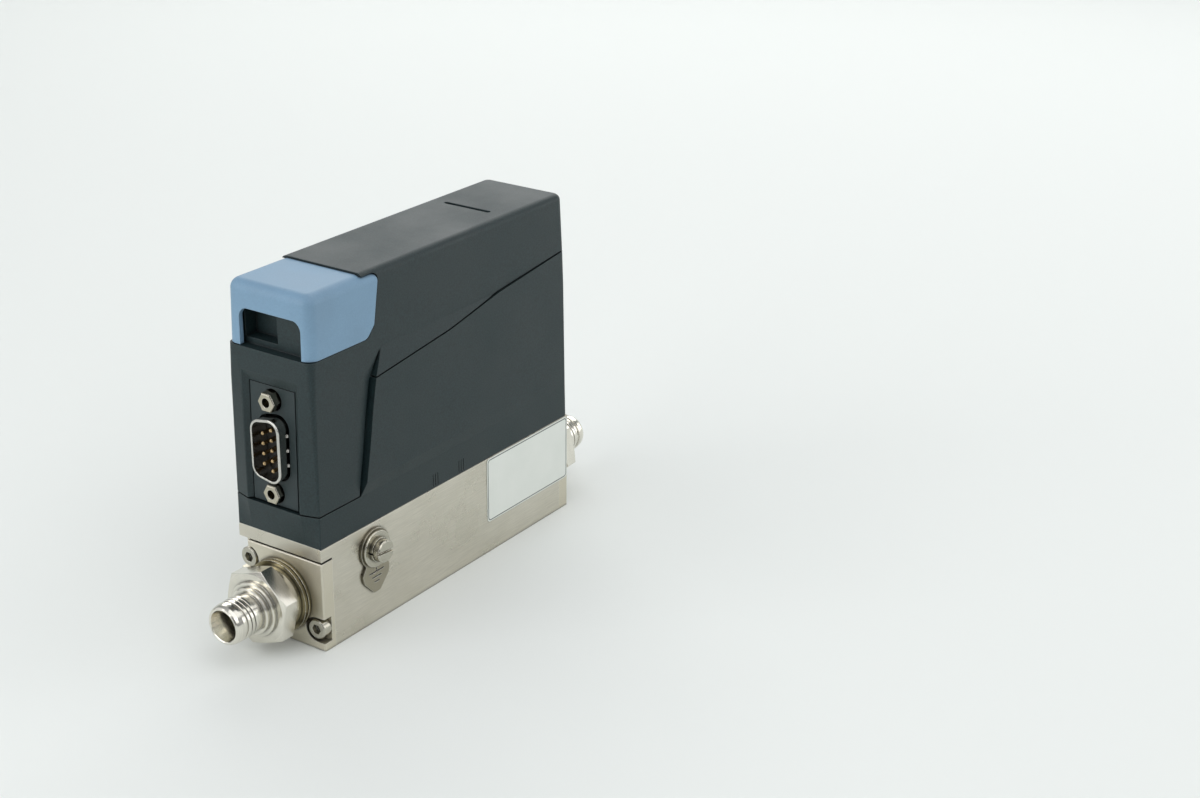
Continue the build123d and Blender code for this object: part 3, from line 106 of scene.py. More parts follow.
def remap(tree: bpy.types.NodeTree, source: bpy.types.NodeSocket, span: tuple[float, float],
          result: tuple[float, float] = (0.0, 1.0)) -> bpy.types.NodeSocket:
    """Map one range of values to another, with both ends held.

    Args:
        tree: node tree that takes the node.
        source: socket of the value.
        span: values that give the two ends of the result.
        result: the two ends of the result.

    Returns:
        The socket of the mapped value.
    """
    values = {"From Min": span[0], "From Max": span[1], "To Min": result[0], "To Max": result[1]}
    return add_node(tree, "ShaderNodeMapRange", values, {"Value": source}).outputs["Result"]


def reckon(tree: bpy.types.NodeTree, operation: str, first: bpy.types.NodeSocket,
           second: bpy.types.NodeSocket | float | None = None) -> bpy.types.NodeSocket:
    """Work out one sum on one or two values.

    Args:
        tree: node tree that takes the node.
        operation: Blender's name of the sum.
        first: socket of the first value.
        second: the second value, as a number or a socket, where the sum has one.

    Returns:
        The socket of the answer.
    """
    node = add_node(tree, "ShaderNodeMath", links={0: first}, operation=operation)
    if isinstance(second, bpy.types.NodeSocket):
        tree.links.new(second, node.inputs[1])
    elif second is not None:
        node.inputs[1].default_value = second
    return node.outputs["Value"]


def blend(tree: bpy.types.NodeTree, share: bpy.types.NodeSocket,
          first: bpy.types.NodeSocket | str, second: str) -> bpy.types.NodeSocket:
    """Mix two colours.

    Args:
        tree: node tree of the material.
        share: socket of the second colour's share.
        first: the first colour, as a socket or six hex digits.
        second: the second colour, as six hex digits.

    Returns:
        The socket of the mixed colour.
    """
    values = {COLOUR_B: linear(second)}
    links = {0: share}
    if isinstance(first, str):
        values[COLOUR_A] = linear(first)
    else:
        links[COLOUR_A] = first
    return add_node(tree, "ShaderNodeMix", values, links, data_type="RGBA").outputs[COLOUR_OUT]


def emboss(tree: bpy.types.NodeTree, shader: bpy.types.Node, height: bpy.types.NodeSocket,
           strength: float, depth_mm: float,
           normal: bpy.types.NodeSocket | None = None) -> None:
    """Press a relief into the surface.

    Args:
        tree: node tree of the material.
        shader: the shader that takes the relief.
        height: socket of the relief's height.
        strength: share of the relief that shows.
        depth_mm: the relief's full depth.
        normal: socket of the normal under the relief, or None for the surface's own.
    """
    links = {"Height": height}
    if normal is not None:
        links["Normal"] = normal
    bump = add_node(tree, "ShaderNodeBump", {"Strength": strength, "Distance": mm(depth_mm)}, links)
    tree.links.new(bump.outputs["Normal"], shader.inputs["Normal"])


class Lay(Enum):
    """Direction of a metal's machining marks, as the scale of the pattern on each axis."""
    ALONG_Y = (1.0, DRAWN, 1.0)
    TURNED_Y = (DRAWN, 1.0, DRAWN)
    NONE = (1.0, 1.0, 1.0)


@dataclass(frozen=True)
class Finish:
    """What every finish shares: a name, a main colour and a surface."""
    name: str
    colour: str
    roughness: float
    metallic: float = 0.0
    ior: float = 1.5
    edge_mm: float = 0.15
    # Reach of the ambient occlusion that paints shade into slots and seats.
    slot_mm: float = 0.9
    # A full match of true and rounded normal, and the match at which an edge counts as worn and
    # takes its full painted highlight.
    edge_match: tuple[float, float] = (0.995, 0.86)
    # Share of open sky at which the painted crevice shade is deepest in slots and at which it ends
    # on open faces.
    slot_sky: tuple[float, float] = (0.35, 0.9)

    def start(self) -> tuple[bpy.types.Material, bpy.types.NodeTree, bpy.types.Node]:
        """Make an empty material with one principled shader.

        Returns:
            The material, its tree and the shader node.
        """
        material = bpy.data.materials.new(self.name)
        material.use_nodes = True
        tree = material.node_tree
        tree.nodes.clear()
        shader = add_node(tree, "ShaderNodeBsdfPrincipled",
                          {"Base Color": linear(self.colour), "Roughness": self.roughness,
                           "Metallic": self.metallic})
        if not self.metallic:
            shader.inputs["IOR"].default_value = self.ior
        add_node(tree, "ShaderNodeOutputMaterial", links={"Surface": shader.outputs["BSDF"]})
        return material, tree, shader

    def place(self, tree: bpy.types.NodeTree, stretch: tuple[float, float, float] = (1.0, 1.0, 1.0),
              ) -> bpy.types.NodeSocket:
        """Give object coordinates in millimetres, stretched along chosen axes.

        Args:
            tree: node tree of the material.
            stretch: scale on each axis; a small value draws marks out along it.

        Returns:
            The socket of the coordinates.
        """
        spot = add_node(tree, "ShaderNodeTexCoord")
        scale = tuple(PER_METRE * s for s in stretch)
        return add_node(tree, "ShaderNodeMapping", {"Scale": scale},
                        {"Vector": spot.outputs["Object"]}).outputs["Vector"]

    def soft_edge(self, tree: bpy.types.NodeTree,
                  ) -> tuple[bpy.types.NodeSocket, bpy.types.NodeSocket]:
        """Give a rounded normal and a mask that is one along sharp edges.

        Args:
            tree: node tree of the material.

        Returns:
            The rounded normal and the edge mask.
        """
        bevel = add_node(tree, "ShaderNodeBevel", {"Radius": mm(self.edge_mm)}, samples=4)
        true_normal = add_node(tree, "ShaderNodeNewGeometry").outputs["Normal"]
        match = add_node(tree, "ShaderNodeVectorMath",
                         links={0: bevel.outputs["Normal"], 1: true_normal},
                         operation="DOT_PRODUCT")
        return bevel.outputs["Normal"], remap(tree, match.outputs["Value"], self.edge_match)

    def painted_crevice_shade(self, tree: bpy.types.NodeTree, lowest: float) -> bpy.types.NodeSocket:
        """Give a share of the clean tone that falls in slots and along seats: painted shade where
        nearby surfaces close in.

        Args:
            tree: node tree of the material.
            lowest: share of the clean tone that is left in the deepest slot.

        Returns:
            The socket of the share.
        """
        sky = add_node(tree, "ShaderNodeAmbientOcclusion", {"Distance": mm(self.slot_mm)},
                       samples=6)
        return remap(tree, sky.outputs["AO"], self.slot_sky, (lowest, 1.0))

    def noise(self, tree: bpy.types.NodeTree, size_mm: float, detail: float, roughness: float = 0.5,
              stretch: tuple[float, float, float] = (1.0, 1.0, 1.0)) -> bpy.types.NodeSocket:
        """Give a noise of a real size.

        Args:
            tree: node tree of the material.
            size_mm: size of its largest marks.
            detail: number of finer layers on top.
            roughness: how strong the finer layers are.
            stretch: scale on each axis; a small value draws marks out along it.

        Returns:
            The socket of the noise's value.
        """
        values = {"Scale": 1.0 / size_mm, "Detail": detail, "Roughness": roughness}
        return add_node(tree, "ShaderNodeTexNoise", values,
                        {"Vector": self.place(tree, stretch)}).outputs["Fac"]


@dataclass(frozen=True)
class MachinedSteel(Finish):
    """Metal with machining marks, slight blotches, paler broken edges that are partly wear and
    partly painted highlight, and painted shade in slots.
    """
    lay: Lay = Lay.NONE
    mark_mm: float = 0.08
    mark_depth: float = 0.12
    relief_mm: float = 0.02
    cloud_mm: float = 11.111
    shade: str = "8f8b80"
    # Edge colour: partly wear on broken edges, partly painted highlight.
    edge: str = "e8e6de"
    # Least and most of the main tone in the marks, and what is left of it in the deepest slot under
    # the painted shade.
    mark_tone: tuple[float, float] = (0.86, 1.06)
    crevice_shade_tone: float = 0.18
    # Least and most of the main roughness over the clouds.
    cloud_gloss: tuple[float, float] = (0.8, 1.25)

    def build(self) -> bpy.types.Material:
        """Make the material.

        Returns:
            Metal whose marks run one way, so that highlights spread across them.
        """
        material, tree, shader = self.start()
        marks = self.noise(tree, self.mark_mm, detail=3.0, roughness=0.6, stretch=self.lay.value)
        # Handling leaves faint clouds about a centimetre across, duller than the clean metal.
        clouds = self.noise(tree, self.cloud_mm, detail=4.0)
        normal, edge = self.soft_edge(tree)
        tone = blend(tree, clouds, self.shade, self.colour)
        streak = remap(tree, marks, NOISE_SPAN, self.mark_tone)
        # Painted shade: ambient occlusion darkens the colour in slots and along seats.
        crevice_shaded = reckon(tree, "MULTIPLY", streak, self.painted_crevice_shade(tree, self.crevice_shade_tone))
        streaked = add_node(tree, "ShaderNodeVectorMath", links={0: tone, 3: crevice_shaded},
                            operation="SCALE")
        # Paler colour along sharp edges: partly wear, partly painted highlight.
        worn_and_highlit = blend(tree, edge, streaked.outputs["Vector"], self.edge)
        tree.links.new(worn_and_highlit, shader.inputs["Base Color"])
        low, high = (self.roughness * share for share in self.cloud_gloss)
        tree.links.new(remap(tree, clouds, NOISE_SPAN, (low, high)), shader.inputs["Roughness"])
        emboss(tree, shader, marks, self.mark_depth, self.relief_mm, normal)
        return material


@dataclass(frozen=True)
class MouldedPlastic(Finish):
    """Injection moulded plastic with an eroded grain, paler along its edges, partly where hands rub
    it and partly as painted highlight, and with painted shade in slots.
    """
    grain_mm: float = 0.35
    grain_depth: float = 0.25
    grain_tone: float = 0.1
    grain_span: tuple[float, float] = (0.35, 0.65)
    relief_mm: float = 0.03
    cloud_mm: float = 20.0
    # Least and most of the main tone over the clouds, and what is left of it in the deepest slot
    # under the painted shade.
    cloud_tone: tuple[float, float] = (0.93, 1.07)
    crevice_shade_tone: float = 0.15
    # How far the roughness goes below and above the main one over the clouds.
    cloud_gloss: tuple[float, float] = (-0.05, 0.06)
    # Paler edge colour and its share: partly rubbing wear, partly painted highlight.
    rubbed_and_highlit: str = "5a6667"
    rubbed_and_highlit_share: float = 0.35
    coat: float = 0.0
    coat_roughness: float = 0.25

    def build(self) -> bpy.types.Material:
        """Make the material.

        Returns:
            Plastic whose fine grain breaks up the highlight into a soft sheen.
        """
        material, tree, shader = self.start()
        grain = self.noise(tree, self.grain_mm, detail=2.0, roughness=0.55)
        # Slow change of tone, as a moulding has from its flow and from handling.
        clouds = self.noise(tree, self.cloud_mm, detail=5.0, roughness=0.6)
        normal, edge = self.soft_edge(tree)
        shade = remap(tree, clouds, NOISE_SPAN, self.cloud_tone)
        speck = remap(tree, grain, self.grain_span, (1.0 - self.grain_tone, 1.0 + self.grain_tone))
        grained = reckon(tree, "MULTIPLY", shade, speck)
        # Painted shade: ambient occlusion darkens the colour in slots and along seats.
        crevice_shaded = reckon(tree, "MULTIPLY", grained, self.painted_crevice_shade(tree, self.crevice_shade_tone))
        tone = add_node(tree, "ShaderNodeVectorMath", {0: linear(self.colour)[:3]}, {3: crevice_shaded},
                        operation="SCALE")
        # Paler colour along sharp edges: partly rubbing wear, partly painted highlight.
        faint = reckon(tree, "MULTIPLY", edge, self.rubbed_and_highlit_share)
        worn_and_highlit = blend(tree, faint, tone.outputs["Vector"], self.rubbed_and_highlit)
        tree.links.new(worn_and_highlit, shader.inputs["Base Color"])
        low, high = (self.roughness + shift for shift in self.cloud_gloss)
        tree.links.new(remap(tree, clouds, NOISE_SPAN, (low, high)), shader.inputs["Roughness"])
        emboss(tree, shader, grain, self.grain_depth, self.relief_mm, normal)
        if self.coat:
            shader.inputs["Coat Weight"].default_value = self.coat
            shader.inputs["Coat Roughness"].default_value = self.coat_roughness
        return material


@dataclass(frozen=True)
class LabelFilm(Finish):
    """Polyester film, left bare apart from a thin rule round its edge."""
    shade: str = "dadfd8"
    cloud_mm: float = 8.3333
    grain_mm: float = 0.33333
    grain_depth: float = 0.05
    relief_mm: float = 0.02
    rule: str = "5f6561"
    # Where the rule runs, and the distances from its middle at which its ink starts and is full.
    y_mm: tuple[float, float] = (15.35, 52.95)
    z_mm: tuple[float, float] = (9.85, 28.25)
    corner_mm: float = 1.0
    ink_mm: tuple[float, float] = (0.2, 0.12)

    def build(self) -> bpy.types.Material:
        """Make the material.

        Returns:
            Pale satin film with a hairline frame.
        """
        material, tree, shader = self.start()
        spot = add_node(tree, "ShaderNodeSeparateXYZ", links={"Vector": self.place(tree)})
        # Distance past the rule's straight sides on each axis, taken as a length round each corner.
        past = add_node(tree, "ShaderNodeCombineXYZ")
        for axis, (low, high) in (("Y", self.y_mm), ("Z", self.z_mm)):
            off = reckon(tree, "SUBTRACT", spot.outputs[axis], (low + high) / 2)
            size = reckon(tree, "ABSOLUTE", off)
            over = reckon(tree, "SUBTRACT", size, (high - low) / 2 - self.corner_mm)
            tree.links.new(reckon(tree, "MAXIMUM", over, 0.0), past.inputs[axis])
        reach = add_node(tree, "ShaderNodeVectorMath", links={0: past.outputs["Vector"]},
                         operation="LENGTH")
        off_rule = reckon(tree, "SUBTRACT", reach.outputs["Value"], self.corner_mm)
        line = remap(tree, reckon(tree, "ABSOLUTE", off_rule), self.ink_mm)
        clouds = self.noise(tree, self.cloud_mm, detail=3.0)
        tone = blend(tree, clouds, self.shade, self.colour)
        tree.links.new(blend(tree, line, tone, self.rule), shader.inputs["Base Color"])
        grain = self.noise(tree, self.grain_mm, detail=2.0)
        emboss(tree, shader, grain, self.grain_depth, self.relief_mm)
        return material


@dataclass
class Dresser:
    """Gives CAD nodes their finishes and smooth shading."""
    smooth_degrees: float = 28.0
    made: dict[str, bpy.types.Material] = field(default_factory=dict)

    def material(self, finish: Finish) -> bpy.types.Material:
        """Give a finish's material, made once and shared by its pieces.

        Args:
            finish: the finish.

        Returns:
            Its material.
        """
        if finish.name not in self.made:
            self.made[finish.name] = finish.build()
        return self.made[finish.name]

    def dress(self, finish: Finish, *nodes: str) -> None:
        """Put one finish on some CAD nodes.

        Args:
            finish: the finish to use.
            nodes: names of the CAD nodes.
        """
        for name in nodes:
            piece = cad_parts[name]
            piece.data.materials.clear()
            piece.data.materials.append(self.material(finish))
            self.smooth(piece)
            LOG.info("dressed %s in %s", name, finish.name)

    def piece(self, name: str, points: list[tuple[float, float, float]],
              faces: list[tuple[int, ...]], finish: Finish) -> None:
        """Add a fine piece that rides the controller.

        Args:
            name: name of the piece.
            points: its points in millimetres.
            faces: its faces.
            finish: its finish.
        """
        mesh = bpy.data.meshes.new(name)
        mesh.from_pydata([[mm(c) for c in point] for point in points], [], faces)
        mesh.update()
        skin = bmesh.new()
        skin.from_mesh(mesh)
        bmesh.ops.recalc_face_normals(skin, faces=skin.faces)
        skin.to_mesh(mesh)
        skin.free()
        made = bpy.data.objects.new(name, mesh)
        bpy.context.scene.collection.objects.link(made)
        mesh.materials.append(self.material(finish))
        self.smooth(made)
        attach(made, BODY)
        LOG.info("added %s", name)

    def smooth(self, piece: bpy.types.Object) -> None:
        """Shade round faces smoothly and keep real edges sharp.

        Args:
            piece: the mesh object.
        """
        piece.data.shade_smooth()
        piece.data.set_sharp_from_angle(angle=math.radians(self.smooth_degrees))


@dataclass
class FlowBlock:
    """Steel block, end plates, their screws and the earth terminal."""
    dresser: Dresser
    # Stainless steel, ground along its length: broad pale reflections with fine streaks.
    ground: Finish = MachinedSteel("ground_stainless_steel", "dad6ca", 0.30, 1.0,
                                   lay=Lay.ALONG_Y, mark_mm=0.12, mark_depth=0.10, shade="c4bfb0")
    # Milled plate: a little duller, with soft mottled marks.
    milled: Finish = MachinedSteel("milled_stainless_steel", "ddd8c9", 0.42, 1.0, mark_mm=0.25,
                                   mark_depth=0.06, shade="cec8b5")
    # Zinc plated steel: bright and slightly yellow.
    plated: Finish = MachinedSteel("zinc_plated_steel", "cfccc0", 0.22, 1.0, mark_mm=0.2,
                                   mark_depth=0.05, shade="a8a494")
    # Tin plated copper lug, rubbed dull by its wire.
    tinned: Finish = MachinedSteel("tinned_copper", "b7b2a2", 0.33, 1.0, mark_mm=0.15,
                                   mark_depth=0.12, shade="8e8875")
    # Polyester label film: pale and satin.
    film: Finish = LabelFilm("polyester_label_film", "e6e9e3", 0.42)
    # Oxide and dirt in the lug's engraved bars: dull and dark.
    oxide: Finish = MouldedPlastic("engraving_oxide", "2b2721", 0.7, grain_mm=0.1, rubbed_and_highlit="3a362f")
    # The earth screw's axis, and where the engraved bars' floors and the top of their fill lie.
    earth_y: float = -33.6
    earth_z: float = 21.7
    bar_floor: float = 14.5
    bar_fill: float = 14.6
    bar_half_width: float = 0.17
    # Half length of each bar and how far it lies below the screw.
    bars: tuple[tuple[float, float], ...] = ((2.97, 6.7), (1.82, 8.15), (0.97, 9.55))
    # How far the stem's upper end lies below the screw, and its gap to the first bar.
    stem_top: float = 5.2
    stem_gap: float = 0.02

    def symbol(self) -> tuple[list[tuple[float, float, float]], list[tuple[int, ...]]]:
        """Work out the dark fill of the lug's engraved earth symbol.

        Returns:
            Points in millimetres and faces, one closed box for each bar and one for the stem.
        """
        wide = self.bar_half_width
        boxes = [(self.earth_y - half, self.earth_y + half, self.earth_z - drop - wide,
                  self.earth_z - drop + wide) for half, drop in self.bars]
        first_bar = self.earth_z - self.bars[0][1]
        boxes.append((self.earth_y - wide, self.earth_y + wide, first_bar + wide + self.stem_gap,
                      self.earth_z - self.stem_top))
        points = []
        faces = []
        for y0, y1, z0, z1 in boxes:
            first = len(points)
            for x in (self.bar_floor, self.bar_fill):
                points += [(x, y0, z0), (x, y1, z0), (x, y1, z1), (x, y0, z1)]
            faces += [tuple(first + k for k in range(4)), tuple(first + k for k in range(4, 8))]
            for k in range(4):
                after = (k + 1) % 4
                faces.append((first + k, first + after, first + 4 + after, first + 4 + k))
        return points, faces

    def build(self) -> None:
        """Dress the block and what is screwed to it."""
        self.dresser.piece("earth_symbol", *self.symbol(), self.oxide)
        self.dresser.dress(self.ground, "base_block")
        self.dresser.dress(self.milled, "inlet_flange", "outlet_flange")
        self.dresser.dress(self.plated, "flange_screws", "earth_screw", "earth_washer",
                           "earth_spring_washer")
        self.dresser.dress(self.tinned, "earth_lug")
        self.dresser.dress(self.film, "rating_label")


@dataclass
class Fittings:
    """Tube fittings with their threads, and the seal rings at both ends."""
    dresser: Dresser
    axis_height: float = 12.8
    # Where the end plate's outer face lies, and how far from it the thread ends.
    plate_face: float = 53.75
    thread_end: float = 18.7
    pitch: float = 1.27
    turns: int = 3
    steps: int = 72
    # Share of a turn over which the ridge grows out of the root at each end.
    run_out: float = 0.2
    root_radius: float = 5.1
    crest_radius: float = 5.5
    root_half: float = 0.62
    crest_half: float = 0.4
    # Stainless bar, turned and polished: mirror-like with faint rings.
    turned: Finish = MachinedSteel("turned_stainless_steel", "eeebe1", 0.17, 1.0,
                                   lay=Lay.TURNED_Y, mark_mm=0.15, mark_depth=0.08, shade="dbd7ca")
    # Silver plated gasket ring, tarnished towards brown.
    gasket: Finish = MachinedSteel("plated_gasket_metal", "a39b7f", 0.25, 1.0, lay=Lay.TURNED_Y,
                                   mark_mm=0.1, mark_depth=0.08, shade="7d745a")

    def build(self) -> None:
        """Dress both fittings and their rings, and lay a thread ridge round each nose."""
        self.dresser.dress(self.turned, "inlet_fitting", "outlet_fitting")
        self.dresser.dress(self.gasket, "fitting_seals")
        self.dresser.piece("inlet_thread", *self.thread(-1), self.turned)
        self.dresser.piece("outlet_thread", *self.thread(1), self.turned)

    def thread(self, end: int) -> tuple[list[tuple[float, float, float]], list[tuple[int, ...]]]:
        """Work out one helical thread ridge, sunk a little into the nose's root.

        Args:
            end: -1 for the front fitting and 1 for the rear one.

        Returns:
            Points in millimetres and faces.
        """
        points = []
        count = self.turns * self.steps + 1
        grow = self.run_out * self.steps
        start = self.plate_face + self.thread_end - self.root_half
        for i in range(count):
            turn = 2 * math.pi * i / self.steps
            full = min(1.0, i / grow, (count - 1 - i) / grow)
            top = self.root_radius + (self.crest_radius - self.root_radius) * full
            middle = start - self.pitch * i / self.steps
            for radius, shift in ((self.root_radius, -self.root_half), (top, -self.crest_half),
                                  (top, self.crest_half), (self.root_radius, self.root_half)):
                points.append((end * radius * math.cos(turn), end * (middle + shift),
                               self.axis_height + radius * math.sin(turn)))
        faces = [(0, 1, 2, 3), tuple(4 * (count - 1) + k for k in (3, 2, 1, 0))]
        for i in range(count - 1):
            for k in range(4):
                near, far = 4 * i + k, 4 * i + (k + 1) % 4
                faces.append((near, near + 4, far + 4, far))
        return points, faces


@dataclass
class Housing:
    """Plastic shells, cap and connector panel."""
    dresser: Dresser
    # PC-ABS with an eroded grain: dark blue grey with a soft sheen.
    shell: Finish = MouldedPlastic("moulded_pc_abs_dark", "17282a", 0.5, ior=1.46, grain_mm=0.4,
                                   grain_depth=0.32, grain_tone=0.3, rubbed_and_highlit="566162", edge_mm=0.25)
    # The same plastic from another tool, a touch paler.
    panel: Finish = MouldedPlastic("moulded_pc_abs_insert", "222f31", 0.48, ior=1.46, grain_mm=0.3,
                                   grain_depth=0.18, rubbed_and_highlit="5d6767")
    # Pale blue ABS, smoother than the shells.
    cap: Finish = MouldedPlastic("moulded_abs_blue", "7595ae", 0.5, ior=1.48, grain_mm=0.4,
                                 grain_depth=0.12, grain_tone=0.03, rubbed_and_highlit="a9bfcf", edge_mm=0.25)

    def build(self) -> None:
        """Dress the shells, the cap and the connector panel."""
        self.dresser.dress(self.shell, "lower_housing", "upper_hood")
        self.dresser.dress(self.panel, "connector_panel")
        self.dresser.dress(self.cap, "front_cap")


@dataclass
class Connector:
    """D-sub plug on the front."""
    dresser: Dresser
    # Drawn steel shell, bright tin plated.
    tin: Finish = MachinedSteel("bright_tin_plate", "d8d7d2", 0.16, 1.0, mark_mm=0.3,
                                mark_depth=0.05, shade="b5b3ab")
    # Glass filled polyester: black with a dry sheen.
    black: Finish = MouldedPlastic("glass_filled_polyester", "1a1716", 0.48, ior=1.57,
                                   grain_mm=0.2, grain_depth=0.15, rubbed_and_highlit="303334")
    # Gold flash over nickel on copper alloy pins.
    gold: Finish = MachinedSteel("gold_flash", "cdb183", 0.26, 1.0, mark_mm=0.2, mark_depth=0.04,
                                 shade="a58a60", edge="ead9b8")
    # Nickel plated brass jackscrews.
    nickel: Finish = MachinedSteel("nickel_plated_brass", "cbc6b6", 0.2, 1.0, mark_mm=0.2,
                                   mark_depth=0.06, shade="a39d89")

    def build(self) -> None:
        """Dress the plug's shell, insulator, pins and jackscrews."""
        self.dresser.dress(self.tin, "dsub_shell")
        self.dresser.dress(self.black, "dsub_insulator")
        self.dresser.dress(self.gold, "dsub_pins")
        self.dresser.dress(self.nickel, "jackscrews")


@dataclass
class Inside:
    """Pieces that the block and the housing close in."""
    dresser: Dresser
    # Turned stainless steel of the gas path, the yoke and the nut.
    steel: Finish = MachinedSteel("bright_turned_steel", "cfccc2", 0.2, 1.0, mark_mm=0.15,
                                  mark_depth=0.06)
    # Spring steel wire and small screws.
    wire: Finish = MachinedSteel("plain_steel_wire", "b9b7af", 0.28, 1.0, mark_mm=0.1,
                                 mark_depth=0.1)
    # Enamelled copper winding under clear tape.
    winding: Finish = MouldedPlastic("enamelled_copper_winding", "8a4a22", 0.3, ior=1.55,
                                     grain_mm=0.25, grain_depth=0.5, rubbed_and_highlit="a8683a", coat=0.4)
    # Glass epoxy board under green solder mask.
    board: Finish = MouldedPlastic("solder_masked_glass_epoxy", "1e5a38", 0.3, ior=1.55,
                                   grain_mm=0.5, grain_depth=0.2, rubbed_and_highlit="6f8a5c", coat=0.3)
    # Epoxy moulded parts on the board.
    epoxy: Finish = MouldedPlastic("moulded_epoxy", "1c1d1f", 0.5, ior=1.55, grain_mm=0.15,
                                   grain_depth=0.2, rubbed_and_highlit="3a3c3e")
    # Fluorocarbon rubber rings: dark, dull and slightly brown.
    rubber: Finish = MouldedPlastic("fluorocarbon_rubber", "1d1b19", 0.6, ior=1.4, grain_mm=0.3,
                                    grain_depth=0.1, rubbed_and_highlit="2c2a27")
    # The return spring's axis, fixed upper end and length at rest, and the plunger's full lift.
    spring_axis_y: float = 20.0
    spring_top: float = 45.61
    spring_length: float = 8.34
    lift: float = 0.4

    def spring(self) -> None:
        """Stand a copy in for the return spring and hide the CAD node; the copy keeps its modelled
        length, though the real spring gets shorter as the plunger lifts.
        """
        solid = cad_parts["valve_spring"]
        spring = bpy.data.objects.new("valve_spring_wire", solid.data.copy())
        bpy.context.scene.collection.objects.link(spring)
        spring.matrix_world = solid.matrix_world.copy()
        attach(spring, BODY)
        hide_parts("valve_spring")
        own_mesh(spring)
        LOG.info("added %s", spring.name)

    def build(self) -> None:
        """Dress the sensor, valve, board, seals and inner screws."""
        self.dresser.dress(self.steel, "flow_element", "sensor_base", "sensor_tube", "valve_seat",
                           "valve_sleeve", "valve_plunger", "valve_yoke", "valve_nut")
        self.dresser.dress(self.wire, "valve_spring", "housing_screws", "inner_screws")
        self.dresser.dress(self.winding, "valve_coil", "sensor_windings")
        self.dresser.dress(self.board, "circuit_board")
        self.dresser.dress(self.epoxy, "board_parts")
        self.dresser.dress(self.rubber, "block_seals")
        self.spring()


@dataclass(frozen=True)
class Lamp:
    """Soft box: its name, place, width and height in millimetres, and power in watts."""
    name: str
    place: tuple[float, float, float]
    wide: float
    high: float
    watts: float


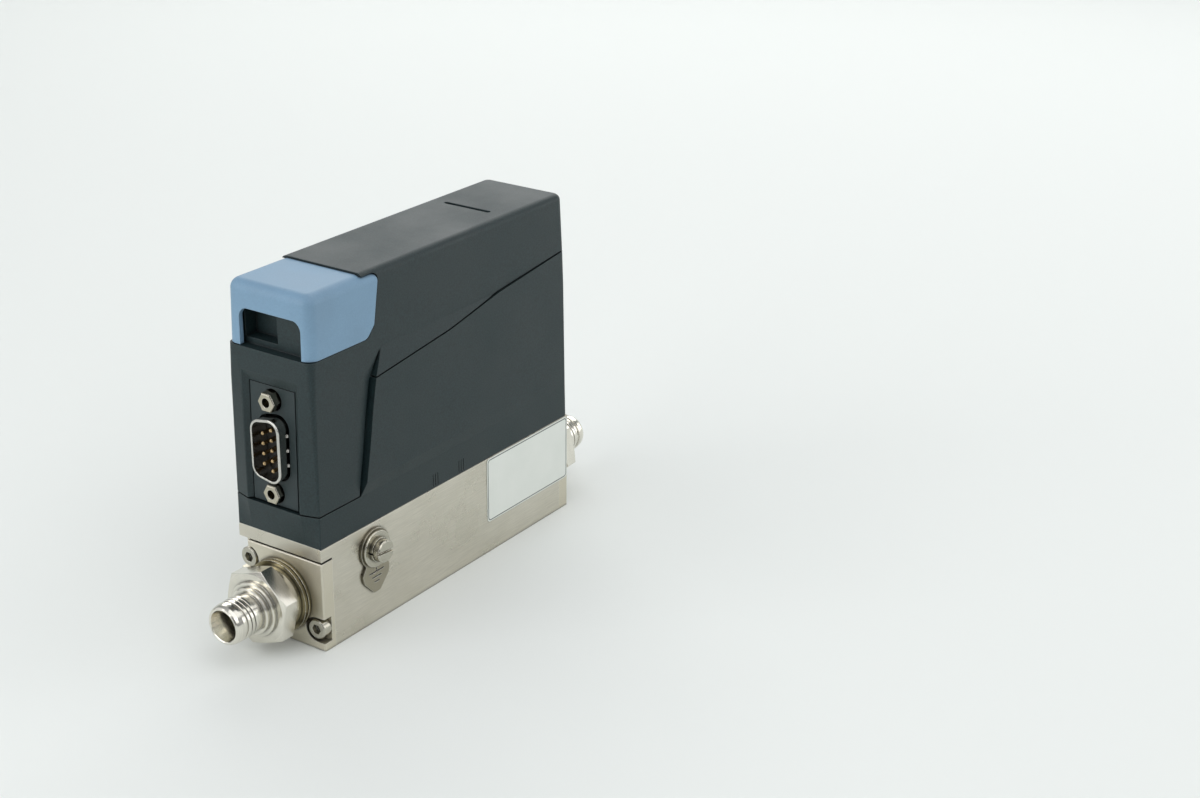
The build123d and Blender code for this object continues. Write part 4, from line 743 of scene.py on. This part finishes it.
@dataclass
class Studio:
    """Pale sweep, soft boxes, surround and camera."""
    lens_mm: float = 59.4
    sensor_mm: float = 36.0
    turn_degrees: float = 34.065
    tilt_degrees: float = 22.575
    roll_degrees: float = 0.53
    eye: tuple[float, float, float] = (320.478, -382.428, 255.598)
    near_mm: float = 10.0
    floor_colour: str = "e6e9e6"
    floor_roughness: float = 0.75
    sweep_radius: float = 400.0
    sweep_steps: int = 24
    sweep_back: float = 900.0
    sweep_height: float = 2600.0
    half_span: float = 2500.0
    # The surround gets stronger between two heights of the view's direction.
    sky_colour: str = "f7faff"
    sky_heights: tuple[float, float] = (-0.2, 0.9)
    sky_strength: tuple[float, float] = (0.2, 0.45)
    # One broad box above, two behind for the sheen on the top and the steel, the others in front.
    lamps: tuple[Lamp, ...] = (Lamp("top_box", (360, 100, 820), 1200, 1000, 3.4),
                               Lamp("back_box", (-480, 820, 600), 1200, 600, 4.6),
                               Lamp("far_box", (620, 780, 230), 1000, 420, 2.0),
                               Lamp("left_box", (-760, -400, 520), 800, 700, 0.9),
                               Lamp("front_box", (-260, -860, 420), 900, 600, 4.5),
                               Lamp("side_box", (860, -300, 520), 500, 500, 0.9))
    aim_height: float = 45.0

    def build(self) -> None:
        """Make the sweep, the lights, the world and the camera."""
        self.sweep()
        self.world()
        self.lights()
        self.camera()
        LOG.info("studio ready")

    def sweep(self) -> None:
        """Floor that curves up into a backdrop behind the object, facing the camera."""
        turn = math.radians(self.turn_degrees)
        ahead = Vector((-math.sin(turn), math.cos(turn), 0.0))
        aside = Vector((math.cos(turn), math.sin(turn), 0.0))
        line = [(-self.half_span, 0.0), (self.sweep_back, 0.0)]
        for i in range(1, self.sweep_steps + 1):
            angle = math.pi / 2 * i / self.sweep_steps
            line.append((self.sweep_back + self.sweep_radius * math.sin(angle),
                         self.sweep_radius * (1 - math.cos(angle))))
        line.append((self.sweep_back + self.sweep_radius, self.sweep_height))
        verts = []
        for along, up in line:
            for side in (-self.half_span, self.half_span):
                spot = ahead * along + aside * side + Vector((0.0, 0.0, up))
                verts.append([mm(c) for c in spot])
        faces = [(2 * i, 2 * i + 1, 2 * i + 3, 2 * i + 2) for i in range(len(line) - 1)]
        mesh = bpy.data.meshes.new("studio_sweep")
        mesh.from_pydata(verts, [], faces)
        mesh.shade_smooth()
        sweep = bpy.data.objects.new("studio_sweep", mesh)
        bpy.context.scene.collection.objects.link(sweep)
        material = bpy.data.materials.new("painted_sweep")
        material.use_nodes = True
        shader = material.node_tree.nodes["Principled BSDF"]
        shader.inputs["Base Color"].default_value = linear(self.floor_colour)
        shader.inputs["Roughness"].default_value = self.floor_roughness
        mesh.materials.append(material)

    def world(self) -> None:
        """Even pale surround, a little brighter above."""
        world = bpy.data.worlds.new("pale_surround")
        world.use_nodes = True
        tree = world.node_tree
        surround = tree.nodes["Background"]
        spot = add_node(tree, "ShaderNodeTexCoord")
        parts = add_node(tree, "ShaderNodeSeparateXYZ", links={"Vector": spot.outputs["Generated"]})
        strength = remap(tree, parts.outputs["Z"], self.sky_heights, self.sky_strength)
        tree.links.new(strength, surround.inputs["Strength"])
        surround.inputs["Color"].default_value = linear(self.sky_colour)
        bpy.context.scene.world = world

    def lights(self) -> None:
        """Large soft boxes, all turned towards the middle of the object."""
        for box in self.lamps:
            lamp = bpy.data.lights.new(box.name, "AREA")
            lamp.shape = "RECTANGLE"
            lamp.energy = box.watts
            lamp.size = mm(box.wide)
            lamp.size_y = mm(box.high)
            light = bpy.data.objects.new(box.name, lamp)
            place = Vector([mm(c) for c in box.place])
            aim = Vector((0.0, 0.0, mm(self.aim_height))) - place
            turned = aim.to_track_quat("-Z", "Y").to_matrix().to_4x4()
            light.matrix_world = Matrix.Translation(place) @ turned
            bpy.context.scene.collection.objects.link(light)

    def camera(self) -> None:
        """Camera at the viewing angle that the fields give."""
        turn = math.radians(self.turn_degrees)
        tilt = math.radians(self.tilt_degrees)
        roll = math.radians(self.roll_degrees)
        ahead = Vector((-math.sin(turn) * math.cos(tilt), math.cos(turn) * math.cos(tilt),
                        -math.sin(tilt)))
        level = Vector((math.cos(turn), math.sin(turn), 0.0))
        upright = level.cross(ahead)
        right = level * math.cos(roll) + upright * math.sin(roll)
        above = upright * math.cos(roll) - level * math.sin(roll)
        lens = bpy.data.cameras.new("camera")
        lens.lens = self.lens_mm
        lens.sensor_width = self.sensor_mm
        lens.sensor_fit = "HORIZONTAL"
        lens.clip_start = mm(self.near_mm)
        view = bpy.data.objects.new("camera", lens)
        turned = Matrix((right, above, -ahead)).transposed().to_4x4()
        view.matrix_world = Matrix.Translation([mm(c) for c in self.eye]) @ turned
        bpy.context.scene.collection.objects.link(view)
        bpy.context.scene.camera = view


def main() -> None:
    logging.basicConfig(level=logging.INFO, format="%(name)s: %(message)s")
    dresser = Dresser()
    for assembly in (FlowBlock, Fittings, Housing, Connector, Inside):
        assembly(dresser).build()
    Studio().build()
    bpy.context.scene.view_settings.view_transform = "Standard"


if __name__ == "__main__":
    main()
